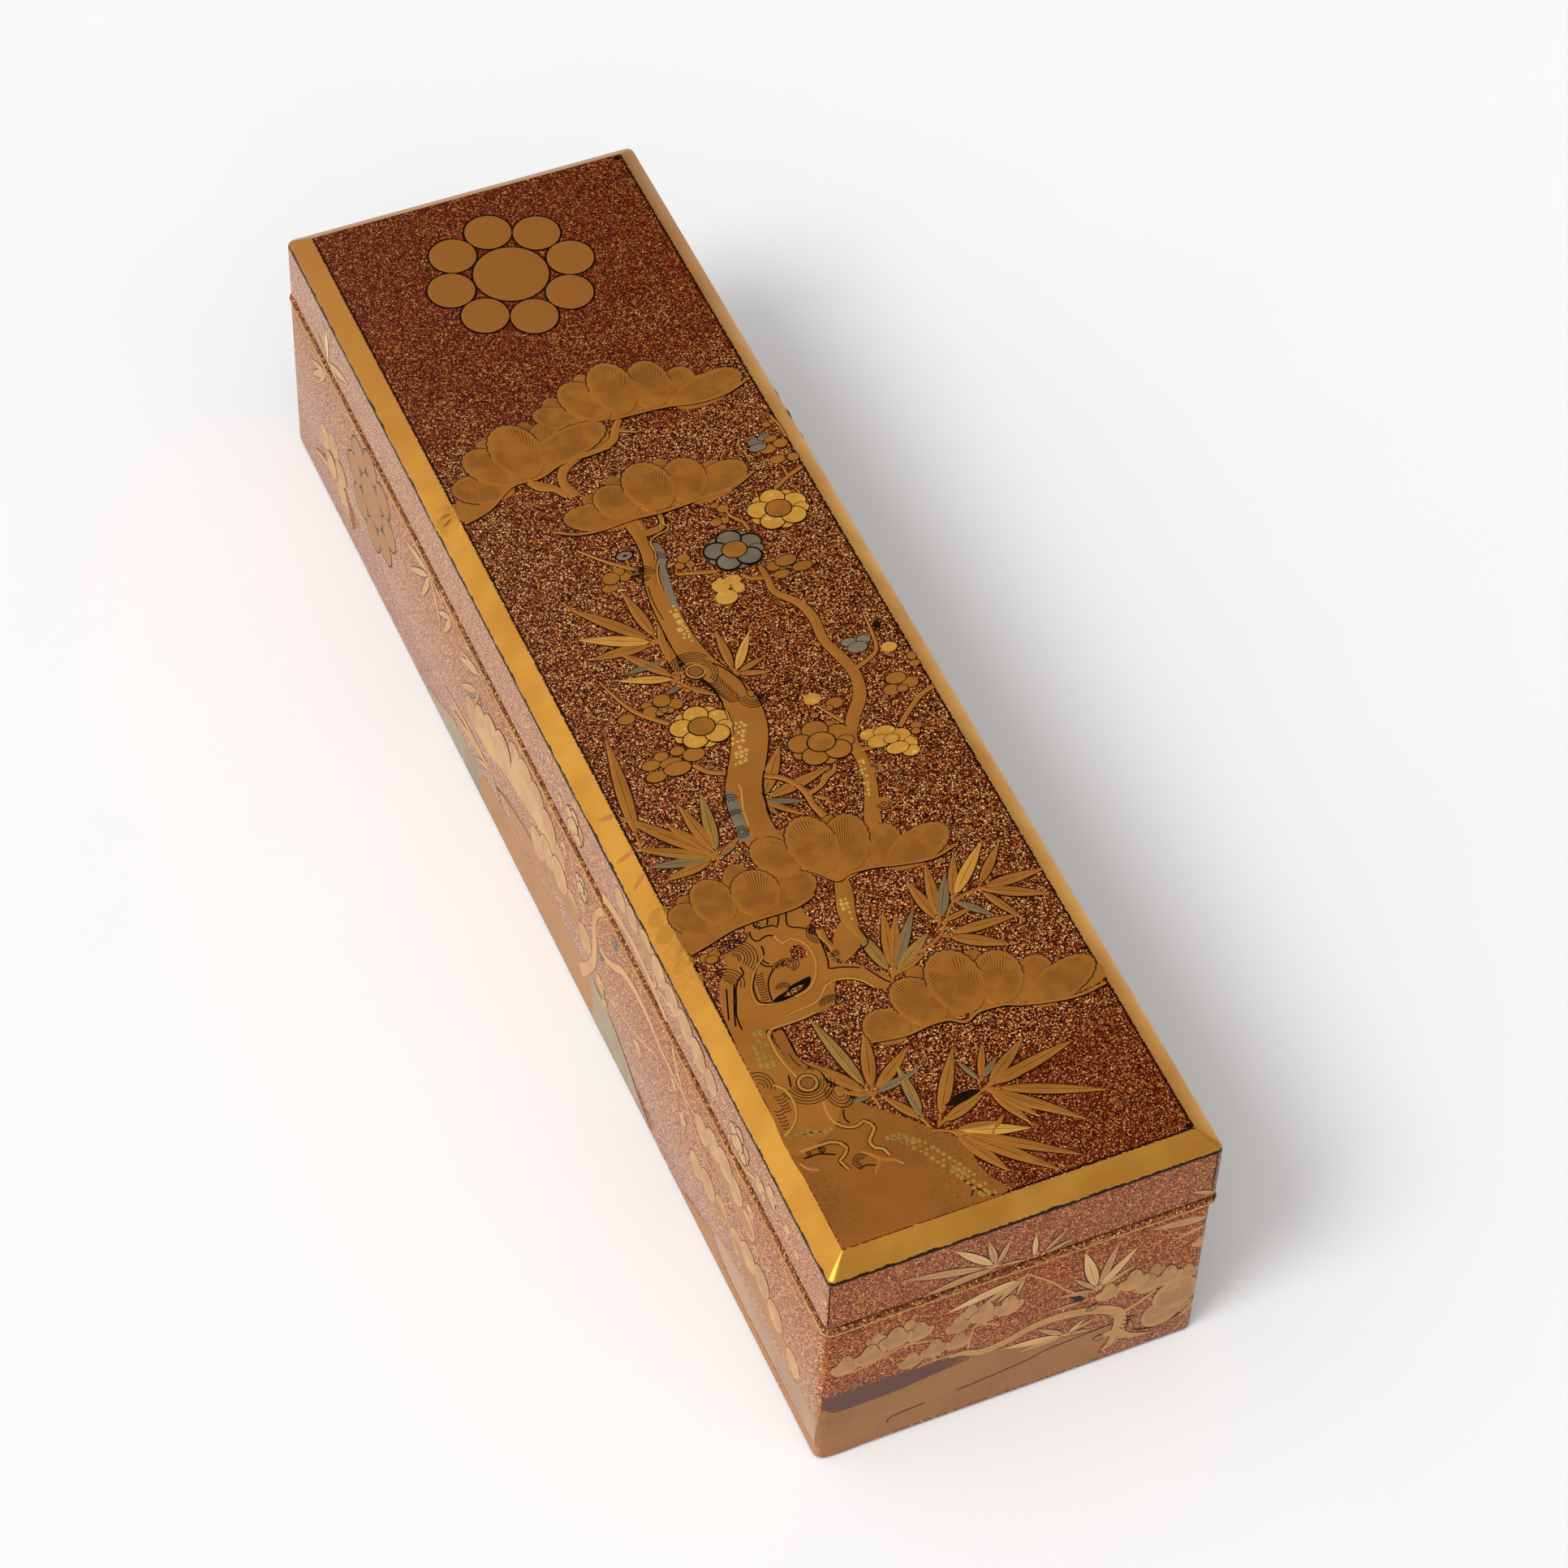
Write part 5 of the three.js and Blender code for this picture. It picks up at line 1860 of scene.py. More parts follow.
petals([(16.8, 15.2, 1.3, 1.1), (17.4, 12.9, 1.6, 0.95), (21.7, 13.3, 1.9, 1.1), (19.4, 15.6, 2.0, 1.25)])
petals([(-12.7, 21.3, 1.6, 1.0), (-9.3, 22.9, 1.1, 1.1), (-9.9, 24.4, 1.1, 0.9), (-11.8, 23.3, 1.6, 1.4)])
petals([(1.0, 21.6, 0.9, 0.8), (2.9, 21.3, 0.8, 0.9), (2.3, 23, 1.15, 1.1)])
petals([(12.7, 33, 0.8, 0.6), (13.8, 31.7, 1.1, 0.95), (12.9, 28.9, 0.9, 0.8), (11.2, 28.9, 1.1, 0.9)])
petals([(-17.3, -6.9, 1.0, 0.7), (-17.2, -8.7, 1.4, 1.3), (-12.3, -8.5, 1.3, 1.2), (-14.4, -6.9, 1.6, 1.4),
        (-15.6, -9.5, 0.9, 0.6), (-13.9, -9.6, 0.8, 0.6), (-14.8, -9.2, 0.6, 0.6)])
petals([(-21.8, -20, 1.7, 1.1), (-19.4, -18.8, 1.3, 1.0), (-16.3, -18.7, 1.3, 1.0), (-13.9, -20.5, 2.0, 1.5),
        (-21.9, -22.8, 1.9, 1.2), (-18.4, -20.9, 2.0, 1.1), (-17.8, -22.5, 2.5, 1.5)])
petals([(27.4, 42.4, 1.6, 1.0), (30.2, 43, 1.4, 1.1), (28.9, 44.6, 1.2, 0.7)])
petals([(28, 39.4, 1.5, 1.0), (31, 38.9, 1.1, 1.0), (29.6, 48.3, 0.9, 0.7), (30.9, 48.6, 0.6, 0.6)])
petals([(24.6, -19.8, 1.5, 1.2), (28.4, -19.4, 1.5, 1.2), (26.4, -17.6, 1.9, 1.3), (26.5, -20.3, 1.0, 0.8)])
petals([(31.2, -13.8, 0.8, 0.9), (31, -15.6, 1.0, 0.7), (25.2, -29, 1.0, 0.8), (24.6, -30.2, 0.8, 0.7)])
petals([(13.9, -18.8, 1.6, 1.2), (-21.8, -8.6, 1.6, 1.1), (12.6, -19.6, 0.6, 0.6), (9.4, -20.2, 0.8, 0.6)])
petals([(-29.5, -62.7, 1.0, 0.9), (-27.8, -62.6, 1.0, 0.9), (-28.6, -63.5, 1.1, 0.8)])
relief("plum_side_blossoms_top", "top")

petals([(8.6, 14.9, 1.5, 1.2), (8.9, 12.9, 1.1, 1.3), (6, 14.3, 1.7, 1.5), (5.9, 11.4, 2.1, 1.7)],
       "shine", 0.0)
petals([(16.6, -27.8, 1.7, 1.2), (19.4, -28.2, 2.0, 1.3), (21.9, -30, 1.6, 1.4), (22.8, -32.2, 1.1, 1.3),
        (22, -34, 1.6, 1.2), (17.6, -30, 2.2, 1.4), (20, -32.6, 2.1, 1.3), (19.8, -30.3, 1.4, 1.0)],
       "shine", 0.12)
petals([(10.6, -16.5, 1.6, 1.3), (28.3, -10.4, 1.5, 1.1)], "shine", 0.0)
relief("plum_bright_blossoms_top", "top")
petals([(22, -6.6, 1.4, 0.9), (24.8, -7, 1.3, 1.0), (23, -8.4, 1.9, 1.2)], "silver")
petals([(26, 45, 1.5, 1.0), (28, 45.4, 1.3, 0.8), (25.8, 43.4, 1.7, 0.9)], "silver")
petals([(28.4, -4.7, 0.8, 0.9)], "ink", 0.0)
petals([(-7.4, 27.6, 1.5, 0.95)], "silver", 0.35)
petals([(-7.3, 27.6, 0.8, 0.45)], "petal", 0.0)
relief("plum_silver_blossoms_top", "top", "maki_e_silver")
print("plum tree laid")

# %% [markdown]
# ## Bamboo
#
# Bamboo leaves hang in sprays from a joint of a thin stem. Most are gold with a dark
# midrib; a few in each spray are brighter, greener or silver, and one is plain black.

# %% Bamboo sprays on the top
leaf_dice = random.Random(21)


def spray(joint, tips, width=2.1):
    """Leaves from one joint. A tip is (x, y) or (x, y, finish)."""
    for order, tip in enumerate(tips):
        finish = tip[2] if len(tip) > 2 else "leaf"
        finish = "silver_leaf" if finish == "silver" else finish
        length = direction(joint, tip)[0]
        start = 0.10 + 0.04 * leaf_dice.random()
        base = (joint[0] + start * (tip[0] - joint[0]), joint[1] + start * (tip[1] - joint[1]))
        wide = width * leaf_dice.uniform(0.85, 1.15) * min(1.15, max(0.55, length / 11))
        stroke([joint, base], 0.35, "bark", 0.18)
        leaf(base, tip[:2], wide + 0.4, "ink", 0.06)
        leaf(base, tip[:2], wide, finish, lift=0.02 * (order % 3))


top_sprays = {
    "by_trunk_left": [
        ((-9.6, 6), [(-21.7, 19.5), (-11.2, 19.5), (-22.8, 11.8, "bright"), (-22.5, 6.6)]),
        ((-9.4, -3.4), [(-17.4, 6.4), (-8.4, 6.6), (-19.9, 0.2, "bright")]),
        ((-9.9, 1.6), [(-18.4, 1.2, "silver"), (-8.0, 10.4)]),
        ((-9.6, -5), [(-4.8, -9.4), (-13.4, -5.8, "silver")]),
    ],
    "by_trunk_right": [
        ((0.2, -6), [(6.4, 2.3, "bright"), (0.9, 4.9), (6.7, -4.2), (6.3, -7.8)]),
        ((-6.9, -34.7), [(0.9, -24.2), (7.2, -32), (-0.1, -37.4, "silver"), (-1.4, -40.2), (-5.6, -38.4)]),
        ((2, -37), [(4.2, -38.8)]),
    ],
    "left_edge": [
        ((-18.9, -43.4), [
            (-31.4, -28.6), (-24.5, -33.4), (-20.9, -30), (-16.2, -28.9, "olive"), (-31, -41, "silver"),
            (-29.2, -44.8), (-13.4, -40.4), (-31.6, -36.4), (-26, -41.6, "olive"), (-14.6, -41.8, "silver"),
        ]),
        ((-30.6, -36.8), [(-26.9, -11.4)]),
    ],
    "over_slope": [
        ((-14.9, -99.6), [
            (-18.3, -81, "olive"), (-10.8, -87), (-23, -88.8), (-5.3, -92.8), (-5.6, -97.8, "silver"),
            (-19.4, -97.2), (-18.6, -99.6, "silver"),
        ]),
        ((-9, -107.6), [(-8.6, -95.2, "olive"), (-13.6, -100.3), (-9.4, -100.6, "silver")]),
        ((-7.2, -109.4), [(1.7, -95.6), (2.4, -106.4)]),
    ],
    "right_of_slope": [
        ((3.2, -105.4), [
            (-5.0, -106.2, "ink"), (15.6, -103), (21, -102), (22, -113.4), (16.2, -117.6), (11.2, -113.8),
            (7.2, -114.8), (9.2, -114.2), (13.4, -98.4),
        ]),
        ((3, -103.8), [(6.7, -96.6), (1.1, -98.8, "silver"), (7.8, -100.2, "silver")]),
    ],
    "near_edge": [
        ((-5.8, -111.2), [
            (6.7, -115.6, "bright"), (-0.2, -122.2), (7.7, -125.2), (12.4, -123.8), (2.8, -112.6),
        ]),
        ((-0.6, -115), [(3.8, -111.4)]),
    ],
    "above_bough_left": [
        ((-1.4, -78.2), [
            (-3.5, -65.8, "olive"), (2.6, -64.8), (4.3, -66.4), (7.6, -66.4, "silver"), (7.9, -72, "olive"),
            (5.8, -75.8),
        ]),
    ],
    "above_bough_right": [
        ((10.6, -71), [(9, -60.2), (13.7, -57.8), (15.9, -61.6, "silver"), (17.4, -69.8)]),
        ((14.6, -67.2), [(19.2, -57.8), (24.9, -57.2, "bright"), (20, -72.8, "silver")]),
        ((19.8, -66.6), [(27.4, -58.8), (32.2, -66.8), (30.9, -72.2), (24.3, -75.4), (26, -69.8)]),
        ((9.8, -73.6), [(24.2, -74.2), (19.9, -79.6)]),
    ],
}
stems = {
    "by_trunk_left": [[(-9.6, 6), (-9.3, 1.8), (-8.4, -3.4)], [(-12.4, -1.6), (-9.4, -4.6), (-7.6, -7.8)]],
    "by_trunk_right": [[(0.2, -6), (0.1, -9), (-0.4, -11)], [(-6.9, -34.7), (-5.6, -29), (-4.4, -27)]],
    "left_edge": [[(-18.9, -43.4), (-20, -45.4)], [(-18.9, -43.4), (-24, -38.6)]],
    "over_slope": [[(-14.9, -99.6), (-14.6, -102.6)], [(-9, -107.6), (-8.6, -109.4)]],
    "right_of_slope": [[(-7.2, -109.4), (-2, -107.2), (3.2, -105.4), (6, -104)]],
    "near_edge": [[(-8.6, -110), (-5.8, -111.2), (0.4, -115.4)]],
    "above_bough_left": [[(-1.4, -78.2), (-2.6, -79.6)]],
    "above_bough_right": [[(-1.4, -78.2), (4, -75.6), (9.8, -73.2), (14.6, -67.6), (19.8, -66.6)]],
}
for name, sprays in top_sprays.items():
    for stem in stems[name]:
        stroke(stem, 0.45, "bark", 0.2)
    for joint, tips in sprays:
        spray(joint, tips)
    relief(f"bamboo_top_{name}", "top")
print("bamboo sprays on the top:", len(top_sprays))

# %% Leaf tips that run onto the left bevel
for base, tip in (
    ((-31.9, -28.2), (-34.8, -26.4)), ((-31.9, -36.6), (-35.2, -36.4)), ((-31.9, -41.6), (-35, -43.4)),
):
    leaf(base, tip, 0.9, "leaf", 0.14)
relief("bamboo_spill_bevel", "left_bevel")

# %% [markdown]
# ## Pictures on the sides
#
# The picture runs on over the sides: low pine clouds, an arched branch, plum
# blossoms, bamboo and a gold slope with a band of mist. The reliefs are lower there.
# The two sides that the photograph doesn't show are guessed as the same design turned
# half round, as such boxes often repeat it.

# %% Near and far ends
def clouds(lobes, kind="clump"):
    """Upright needle clumps, each given by its middle and its radius."""
    for order, (x, y, radius) in enumerate(sorted(lobes, key=lambda lobe: lobe[2])):
        clump((x, y - radius), (x, y + radius), 1.9 * radius, clump_height, layer_step * order, kind)


def end_picture(end):
    """The picture on one short side of the box, and on the lid above it."""
    for joint, tips in (
        ((-5.2, 42.4), [
            (-23, 48), (-13.4, 51.4, "bright"), (-7.3, 51), (-3, 49.2), (-18.8, 40.9), (0.6, 41.2),
            (-14.6, 40.9, "olive"), (-9.4, 40.9),
        ]),
        ((1.8, 40.9), [(1.6, 48, "bright")]),
        ((3, 40.9), [(7.5, 46.2), (9.2, 42.8)]),
        ((36, 41.2), [(30.6, 44.2)]),
    ):
        spray(joint, tips, 1.7)
    relief(f"bamboo_lid_{end}", f"lid_{end}")

    stroke([(1, 36.6), (6, 31.4), (9.4, 26.8), (13.6, 22.6)], 0.4, "bark", 0.16)
    for joint, tips in (
        ((1, 36), [(-13.6, 32.9, "bright"), (-7.4, 31), (-4.2, 30.6), (-0.4, 30.8)]),
        ((15.4, 23.6), [(12, 36.6, "bright"), (18.4, 36.6), (22.2, 32.9, "bright"), (22.6, 27.4),
                        (10.4, 29.6), (7.4, 25.6)]),
        ((13.4, 21.4), [(9.8, 24.9, "ink"), (6.4, 22)]),
        ((10.4, 12.6), [(-1.8, 15.3, "bright"), (4.4, 17.6), (13.6, 15.6, "bright"), (16.6, 15),
                        (1, 12.4), (15.4, 11.4)]),
    ):
        spray(joint, tips, 1.8)
    leaf((35.2, 34.4), (24.2, 36.6), 2.2, "leaf", 0.14)
    leaf((35.2, 32.2), (28.6, 30.8), 1.0, "leaf", 0.14)
    relief(f"bamboo_box_{end}", f"box_{end}")

    clouds([(-31.6, 27.9, 2.9), (-27.2, 28.6, 3.1), (-22.6, 31.1, 3.3), (-18.2, 30.4, 2.8),
            (-26.2, 32.6, 1.9), (-20.2, 33, 2.2)], "bud")
    clouds([(-11, 28.2, 2.5), (-6, 29.2, 3.0), (-1.6, 28.8, 3.0), (-8.8, 31.0, 2.1)], "bud")
    clouds([(-19.3, 22.2, 2.5), (-15, 23.5, 2.8), (-10.6, 23.2, 2.7)], "bud")
    for twig in (
        [(-33.6, 26.6), (-30.6, 25), (-26, 25.8), (-20.6, 27.4), (-15.4, 25.9)],
        [(-24.4, 26.8), (-21.4, 29.2)], [(-20.4, 27.2), (-17.6, 28.6)],
        [(-18, 19.2), (-14, 19.4), (-10.4, 19)], [(-14.6, 19.4), (-15.4, 21)],
        [(-8.6, 19.4), (-8.2, 23), (-7.4, 26), (-3, 23.6)], [(-7.4, 25.6), (-4.4, 26.4)],
    ):
        stroke(twig, 0.5, "bark", 0.16)
    relief(f"pine_needles_{end}", f"box_{end}")

    clouds([(31.2, 13.6, 4.7), (28.8, 8.9, 4.0), (34, 8, 2.0)])
    clouds([(17.6, 21.8, 2.6), (22.4, 22.8, 3.1), (25.6, 19.8, 2.8), (29.2, 20.4, 3.0), (32.8, 19.4, 2.4),
            (26.4, 23.4, 2.0), (34.4, 27.6, 1.6)], "bud")
    ink([(24, 6.2), (28, 4.9), (32, 6), (35.4, 9.6)], 0.35, 0.04)
    relief(f"pine_clouds_{end}", f"box_{end}")

    outlined([(-12, 18.8), (-9.5, 18.6), (-6, 16.9), (-1.5, 17.3), (3.5, 19), (8.5, 19.2), (13.5, 18),
              (17.6, 16.2), (20.4, 13.4), (20.8, 9.6), (20.4, 7)],
             [0.8, 1.4, 1.8, 1.9, 2, 2.2, 2.2, 2.3, 2.4, 2.6, 3], border=0.3, height=0.24)
    outlined([(20.8, 13.2), (24, 14.8), (27.2, 16.9)], [1.0, 0.9, 0.7], border=0.25)
    for root in ([(20.6, 8), (18, 8), (16, 7.6)], [(20.4, 7.2), (19.4, 4.6), (17.8, 3.4)],
                 [(20.8, 7), (23, 5), (26.4, 3.8)]):
        outlined(root, [2.2, 1.6, 0.7], border=0.25, lift=0.04)
    knot((17, 7.9), 1.1, 0.8, 0, 3, 0.22)
    knot((14.9, 18.4), 1.3, 0.8, 0.2, 3, 0.22)
    ripples((22.6, 11.6), (21.6, 8.6), 0.9, 4, 0.24)
    knot((21.6, 5.4), 1.5, 0.5, -0.4, 1, 0.2)
    cut_gold([(15.8, 16.8), (18.6, 14.8), (19.6, 12.6)], 0.5, 2, 0.26, "cut_dim")
    relief(f"pine_branch_{end}", f"box_{end}")


def slopes_at_end(end, edge):
    """Gold slope along the foot of a short side, and the lines drawn on it."""
    patch([(-edge, 15.4), (-33, 13.9), (-22, 14), (-12, 15.4), (-4, 16), (6, 13.2), (14, 10.9), (19, 10.6),
           (18.4, 6), (17, 3), (18, 1.3), (0, 1.3), (-20, 1.3), (-edge, 1.3)], "ground", 0.06)
    ink([(-22.9, 4.9), (-22, 6.2), (-16, 6.8)], 0.3, 0.06)
    ink([(-10, 7.2), (-4, 7.8), (4, 9), (7, 10), (19, 10.8)], 0.26, 0.06)
    relief(f"slope_{end}", f"box_{end}", "gold_ground")


finishes = end_set
# Dark lines down the lid's upright corners.
for end in ("near", "far"):
    for x in (-35.7, 34.7, 35.8):
        stroke([(x, 41.3), (x, 47), (x, 53)], 0.28, "ink", 0.1, 0.0, 2)
    relief(f"dark_corner_lines_{end}", f"lid_{end}")
    slopes_at_end(end, edge=35.2)
    end_picture(end)
print("short sides laid")

# %% Long sides, read from far to near
def long_lid_picture(side):
    tips = [(-109.6, 51), (-107.6, 51, "bright"), (-95.6, 47.2), (-100, 41.6), (-114, 45)]
    spray((-108, 41.4), tips, 1.8)
    clouds([(40.6, 49.6, 2.6), (46, 51, 2.6), (52, 51.6, 2.4), (58, 50.4, 3.2), (64, 49.8, 3.2),
            (70, 49.6, 3.4), (75.6, 48.6, 3.4), (81, 47.8, 2.8)])
    patch([(38.6, 48.4), (44, 50), (52, 50.6), (62, 50), (72, 49), (80, 47.6), (83, 46.6), (78, 45.3),
           (70, 45.6), (62, 47.2), (54, 47), (46, 47.4), (41, 46.8)], "ground", 0.14)
    outlined([(32.4, 40.9), (35.4, 42.2), (40, 43.6), (47, 44.2), (54, 43.4), (59, 41.8), (61.8, 40.9)],
             [2.4, 2.2, 2.1, 2.0, 2.1, 2.2, 2.0], border=0.2, height=0.2)
    outlined([(55, 43.4), (56.6, 45), (55.4, 47)], [1.0, 1.0, 0.6], border=0.2)
    outlined([(57.4, 44.4), (61, 46.4), (66, 46.6)], [0.8, 0.7, 0.4], border=0.2)
    relief(f"pine_arch_lid_{side}", f"lid_{side}")
    for at in ((19.4, 45.8), (93.4, 46)):
        blossom(at, 4.2, "petal", 0.9)
    for at, radius, turn in (((103, 45.6), 2.6, 2.4), ((107, 47.6), 2.6, 0.4), ((12.6, 44.4), 1.8, 0)):
        side_blossom(at, radius, turn, "petal", 0.08)
    for at in ((113.5, 47.9), (113.0, 46.8), (19.4, 51.4), (86.4, 49.4), (13, 48.2), (7, 50), (117.4, 45.9)):
        petals([(*at, 1.0, 0.85)], "petal", 0.06)
    outlined([(90, 40.9), (95, 41.6), (99, 43.8), (101.4, 45.6)], [0.8, 0.8, 0.7, 0.5], border=0.15)
    outlined([(16.6, 40.9), (16.6, 43.4)], [0.7, 0.6], border=0.15)
    relief(f"plum_lid_{side}", f"lid_{side}")


def long_box_pine(side):
    clouds([(-31.4, 21.6, 3.4), (-26, 24.4, 3.6), (-20.8, 27.2, 3.8), (-15, 29, 3.8), (-8.8, 33, 3.4),
            (-3.6, 33.8, 3.6), (2, 33.6, 3.6), (7.4, 32, 3.6), (12, 28.8, 3.2)])
    patch([(-34.4, 20.4), (-28, 24), (-22, 27), (-14, 29.6), (-7, 33), (2, 34), (9, 31.4), (14, 28.4),
           (12, 26.4), (6, 26), (0, 25.4), (-8, 23.4), (-16, 21.6), (-24, 18.8), (-32, 18.7)], "petal",
          0.06)
    clouds([(1.6, 20.6, 3.6), (6.4, 23.4, 3.6), (12.6, 24, 3.9), (18.6, 22.4, 3.2), (24.6, 19.8, 3.2)])
    patch([(-2, 19.6), (4, 23), (12, 25), (20, 22.6), (27, 19.8), (24, 17.4), (16, 17.8), (8, 17.6),
           (0, 17.4)], "ground", 0.14)
    clouds([(78.4, 30.6, 3.2), (83.6, 32.8, 3.3), (88.4, 33.4, 3.4), (93, 32, 3.2), (98.6, 29, 3.0)])
    patch([(76, 30.4), (82, 32.4), (89, 33), (96, 30.6), (101, 28.6), (98, 26.6), (90, 26.8), (82, 28)],
          "ground", 0.14)
    clouds([(76.6, 17.4, 3.0), (81.8, 18.6, 3.2), (87.6, 19, 2.8)])
    clouds([(94.6, 18, 3.0), (99.4, 20.2, 3.2), (105.2, 21, 3.3), (111, 18.6, 3.2), (118.8, 15, 3.0)])
    patch([(74.6, 16.6), (80, 18.4), (86, 18.8), (90, 17.8), (84, 15.4), (78, 14.8)], "ground", 0.14)
    patch([(92.6, 17.2), (98, 19.6), (106, 21), (114, 17), (120.6, 15), (118, 12.8), (110, 12.6),
           (101, 13.8)], "ground", 0.14)
    relief(f"pine_clouds_box_{side}", f"box_{side}")
    outlined([(33.4, 38), (30.6, 34), (29.2, 30), (29.4, 24), (29, 19), (26.6, 13.6), (22.6, 8)],
             [1.8, 1.6, 1.8, 2.0, 2.2, 2.4, 2.6], border=0.2, height=0.2)
    outlined([(31.8, 25.4), (35.4, 26.2), (39, 28.6), (42.4, 31.4), (48, 32.9), (54, 32.6), (60, 30.8),
              (68, 30.2), (76, 31)], [1.6, 1.5, 1.7, 2.0, 2.0, 1.8, 1.4, 1.1, 0.8], border=0.2,
             height=0.2)
    outlined([(65, 37.8), (67.4, 33.6), (71, 30), (78, 25.6), (90, 24)], [1.2, 1.2, 1.0, 0.7, 0.4],
             border=0.2)
    for side_twig in ([(17.6, 38), (19.4, 31.6), (22.6, 26)], [(36, 15.8), (48, 20.6), (59, 26.6)],
                      [(-34, 18.6), (-26, 18.4), (-16, 20.4), (-4, 23.6)]):
        stroke(side_twig, 0.5, "bark", 0.14)
    relief(f"pine_arch_box_{side}", f"box_{side}")


def long_box_plants(side):
    for joint, tips in (
        ((-108.6, 38), [(-117.6, 29.4), (-113, 31.4), (-118, 33)]),
        ((-52, 38), [(-65.8, 34), (-64.4, 27.6), (-57.4, 26.8), (-56, 31.4), (-47, 28.4), (-44.4, 36.6)]),
        ((-41, 37.6), [(-48.6, 31.6), (-45.8, 28.6)]),
        ((-26.4, 37), [(-37.4, 30.8), (-36.4, 33.6), (-20, 36.6)]),
        ((-27.6, 31.4), [(-37.4, 22.8), (-32.4, 24.8, "silver"), (-26, 27, "silver"), (-29.4, 26)]),
        ((-22, 14.6), [(-46.6, 13), (-42, 10.4), (-33.6, 12.6), (-30.6, 9.4), (-17.4, 10.4)]),
        ((-104, 12), [(-118.4, 7.4), (-112.6, 11.4), (-97, 5.2), (-99.4, 9.8), (-96.6, 8), (-104.6, 18.6)]),
    ):
        spray(joint, tips, 1.6)
    relief(f"bamboo_box_{side}", f"box_{side}")
    clouds([(-111.6, 17.4, 2.8), (-106.4, 19.6, 2.8), (-103, 15.2, 3.0), (-108.4, 12.4, 3.0),
            (-102.6, 10, 2.8)])
    relief(f"pine_tuft_box_{side}", f"box_{side}")
    blossom((23.3, 33), 3.0, "petal", 0.9)
    for at, radius, turn, finish in (
        ((15, 33.8), 1.9, 0.2, "petal"), ((32.4, 14.6), 2.6, 0.6, "petal"), ((34.6, 12.4), 1.8, 2.4, "petal"),
        ((50, 17.4), 2.3, 0, "petal"), ((38.4, 34.4), 2.0, 0, "silver"), ((32.2, 23.6), 1.6, 0, "silver"),
        ((66, 27.4), 1.8, 0, "petal"), ((70.8, 23), 2.0, 1.6, "petal"), ((99.6, 33.4), 2.0, 0.4, "petal"),
        ((102.6, 25.8), 1.6, 0.4, "petal"), ((23.6, 27.6), 1.8, 0, "petal"),
    ):
        side_blossom(at, radius, turn, finish, 0.06)
    relief(f"plum_box_{side}", f"box_{side}")


def slopes_on_side(side, edge):
    patch([(-56, 1.4), (-50, 4), (-42, 7.4), (-34, 8), (-27, 8), (-24, 5), (-22, 1.4), (-38, 1.2)],
          "mist_green", 0.03)
    patch([(-27, 7.8), (-18, 10), (-10, 11.2), (0, 11), (10, 11.6), (20, 11.8), (26, 11), (27, 1.4),
           (0, 1.2), (-26, 1.4)], "ground", 0.05)
    patch([(-18, 14.8), (-10, 17.4), (0, 18.6), (6, 16.4), (12, 12.6), (0, 12), (-10, 12.4)], "ground", 0.05)
    patch([(27, 12), (31, 11.6), (37, 10.6), (44, 7.6), (50, 4), (56, 1.6), (40, 1.2), (27, 1.4)],
          "mist_green", 0.03)
    ink([(29, 11.9), (37, 10.8), (44, 7.8), (50, 4.2), (56, 1.7)], 0.3, 0.02)
    patch([(72, 1.4), (75, 3.4), (80, 5.4), (84, 7), (87, 5.2), (92, 3.6), (110, 3.2), (edge, 3.6),
           (edge, 1.4), (90, 1.2)], "ground", 0.06)
    patch([(85, 7), (89, 9.8), (100, 10.6), (112, 10.4), (edge, 11.2), (edge, 4.4), (104, 3.8),
           (92, 4.2)], "mist_pale", 0.03)
    ink([(-20, 12.4), (-14, 15.4), (-6, 17.2), (2, 18.4)], 0.4, 0.05)
    relief(f"slope_{side}", f"box_{side}", "gold_ground")


finishes = long_set
for side in ("left", "right"):
    slopes_on_side(side, edge=129.4)
    roundel(f"roundel_{side}", f"box_{side}", (-84.6, 25.8), 5.7, 9.3, 3.6)
    long_lid_picture(side)
    long_box_pine(side)
    long_box_plants(side)
print("long sides laid")

# %% Putting the masters away
for master in masters.values():
    bpy.data.objects.remove(master)
finished = [obj for obj in bpy.context.scene.objects if obj.type == "MESH"]
print("pieces so far:", len(finished), "faces:", sum(len(obj.data.polygons) for obj in finished))

# %% [markdown]
# ## Table, light and camera
#
# The box stands on a white table in soft light. A wide sun at the upper left gives
# the shadow on the right and the bright left bevel, and a pale world fills the rest.
# The camera sees white behind the box. The gloss of the lacquer has a bright panel and
# a dark flag of its own to reflect, so that it doesn't wash out the gold.

# %% White table
table_size = 6
table_gap = 0.0002


def build_table():
    bpy.ops.mesh.primitive_plane_add(size=table_size, location=(0, 0, -table_gap))
    table = bpy.context.object
    table.name = "table"
    material, tree, shader, place = new_material("white_table")
    cloud = add_node(tree, "TexNoise", place, per_mm(40), 2.0, 0.55)
    feed_named(
        tree, shader, Base_Color=add_node(tree, "Mix", cloud, "#EBEBEB", "#EDEDED", **COLOURS),
        Roughness=0.9, Specular_IOR_Level=0.0, Emission_Color="#FFFFFF", Emission_Strength=0.03,
    )
    table.data.materials.append(material)


build_table()
print("table laid")

# %% World and lamps
toward_window = (-0.72, -0.55, 0.5)
toward_panel = (-0.66, 0.57, 0.48)
toward_flag = (0.274, 0.574, 0.772)
toward_sun = (-0.62, -0.18, 0.77)
sun_power = 1.52
sun_width = 24


def lobe(tree, way, toward, low, high, dark, bright):
    """Bright where the world lies toward a direction, fading to dark at a wider angle."""
    near = add_node(tree, "VectorMath", way, Vector(toward).normalized(), operation="DOT_PRODUCT")
    return add_node(tree, "MapRange", near, low, high, dark, bright, **SOFT)


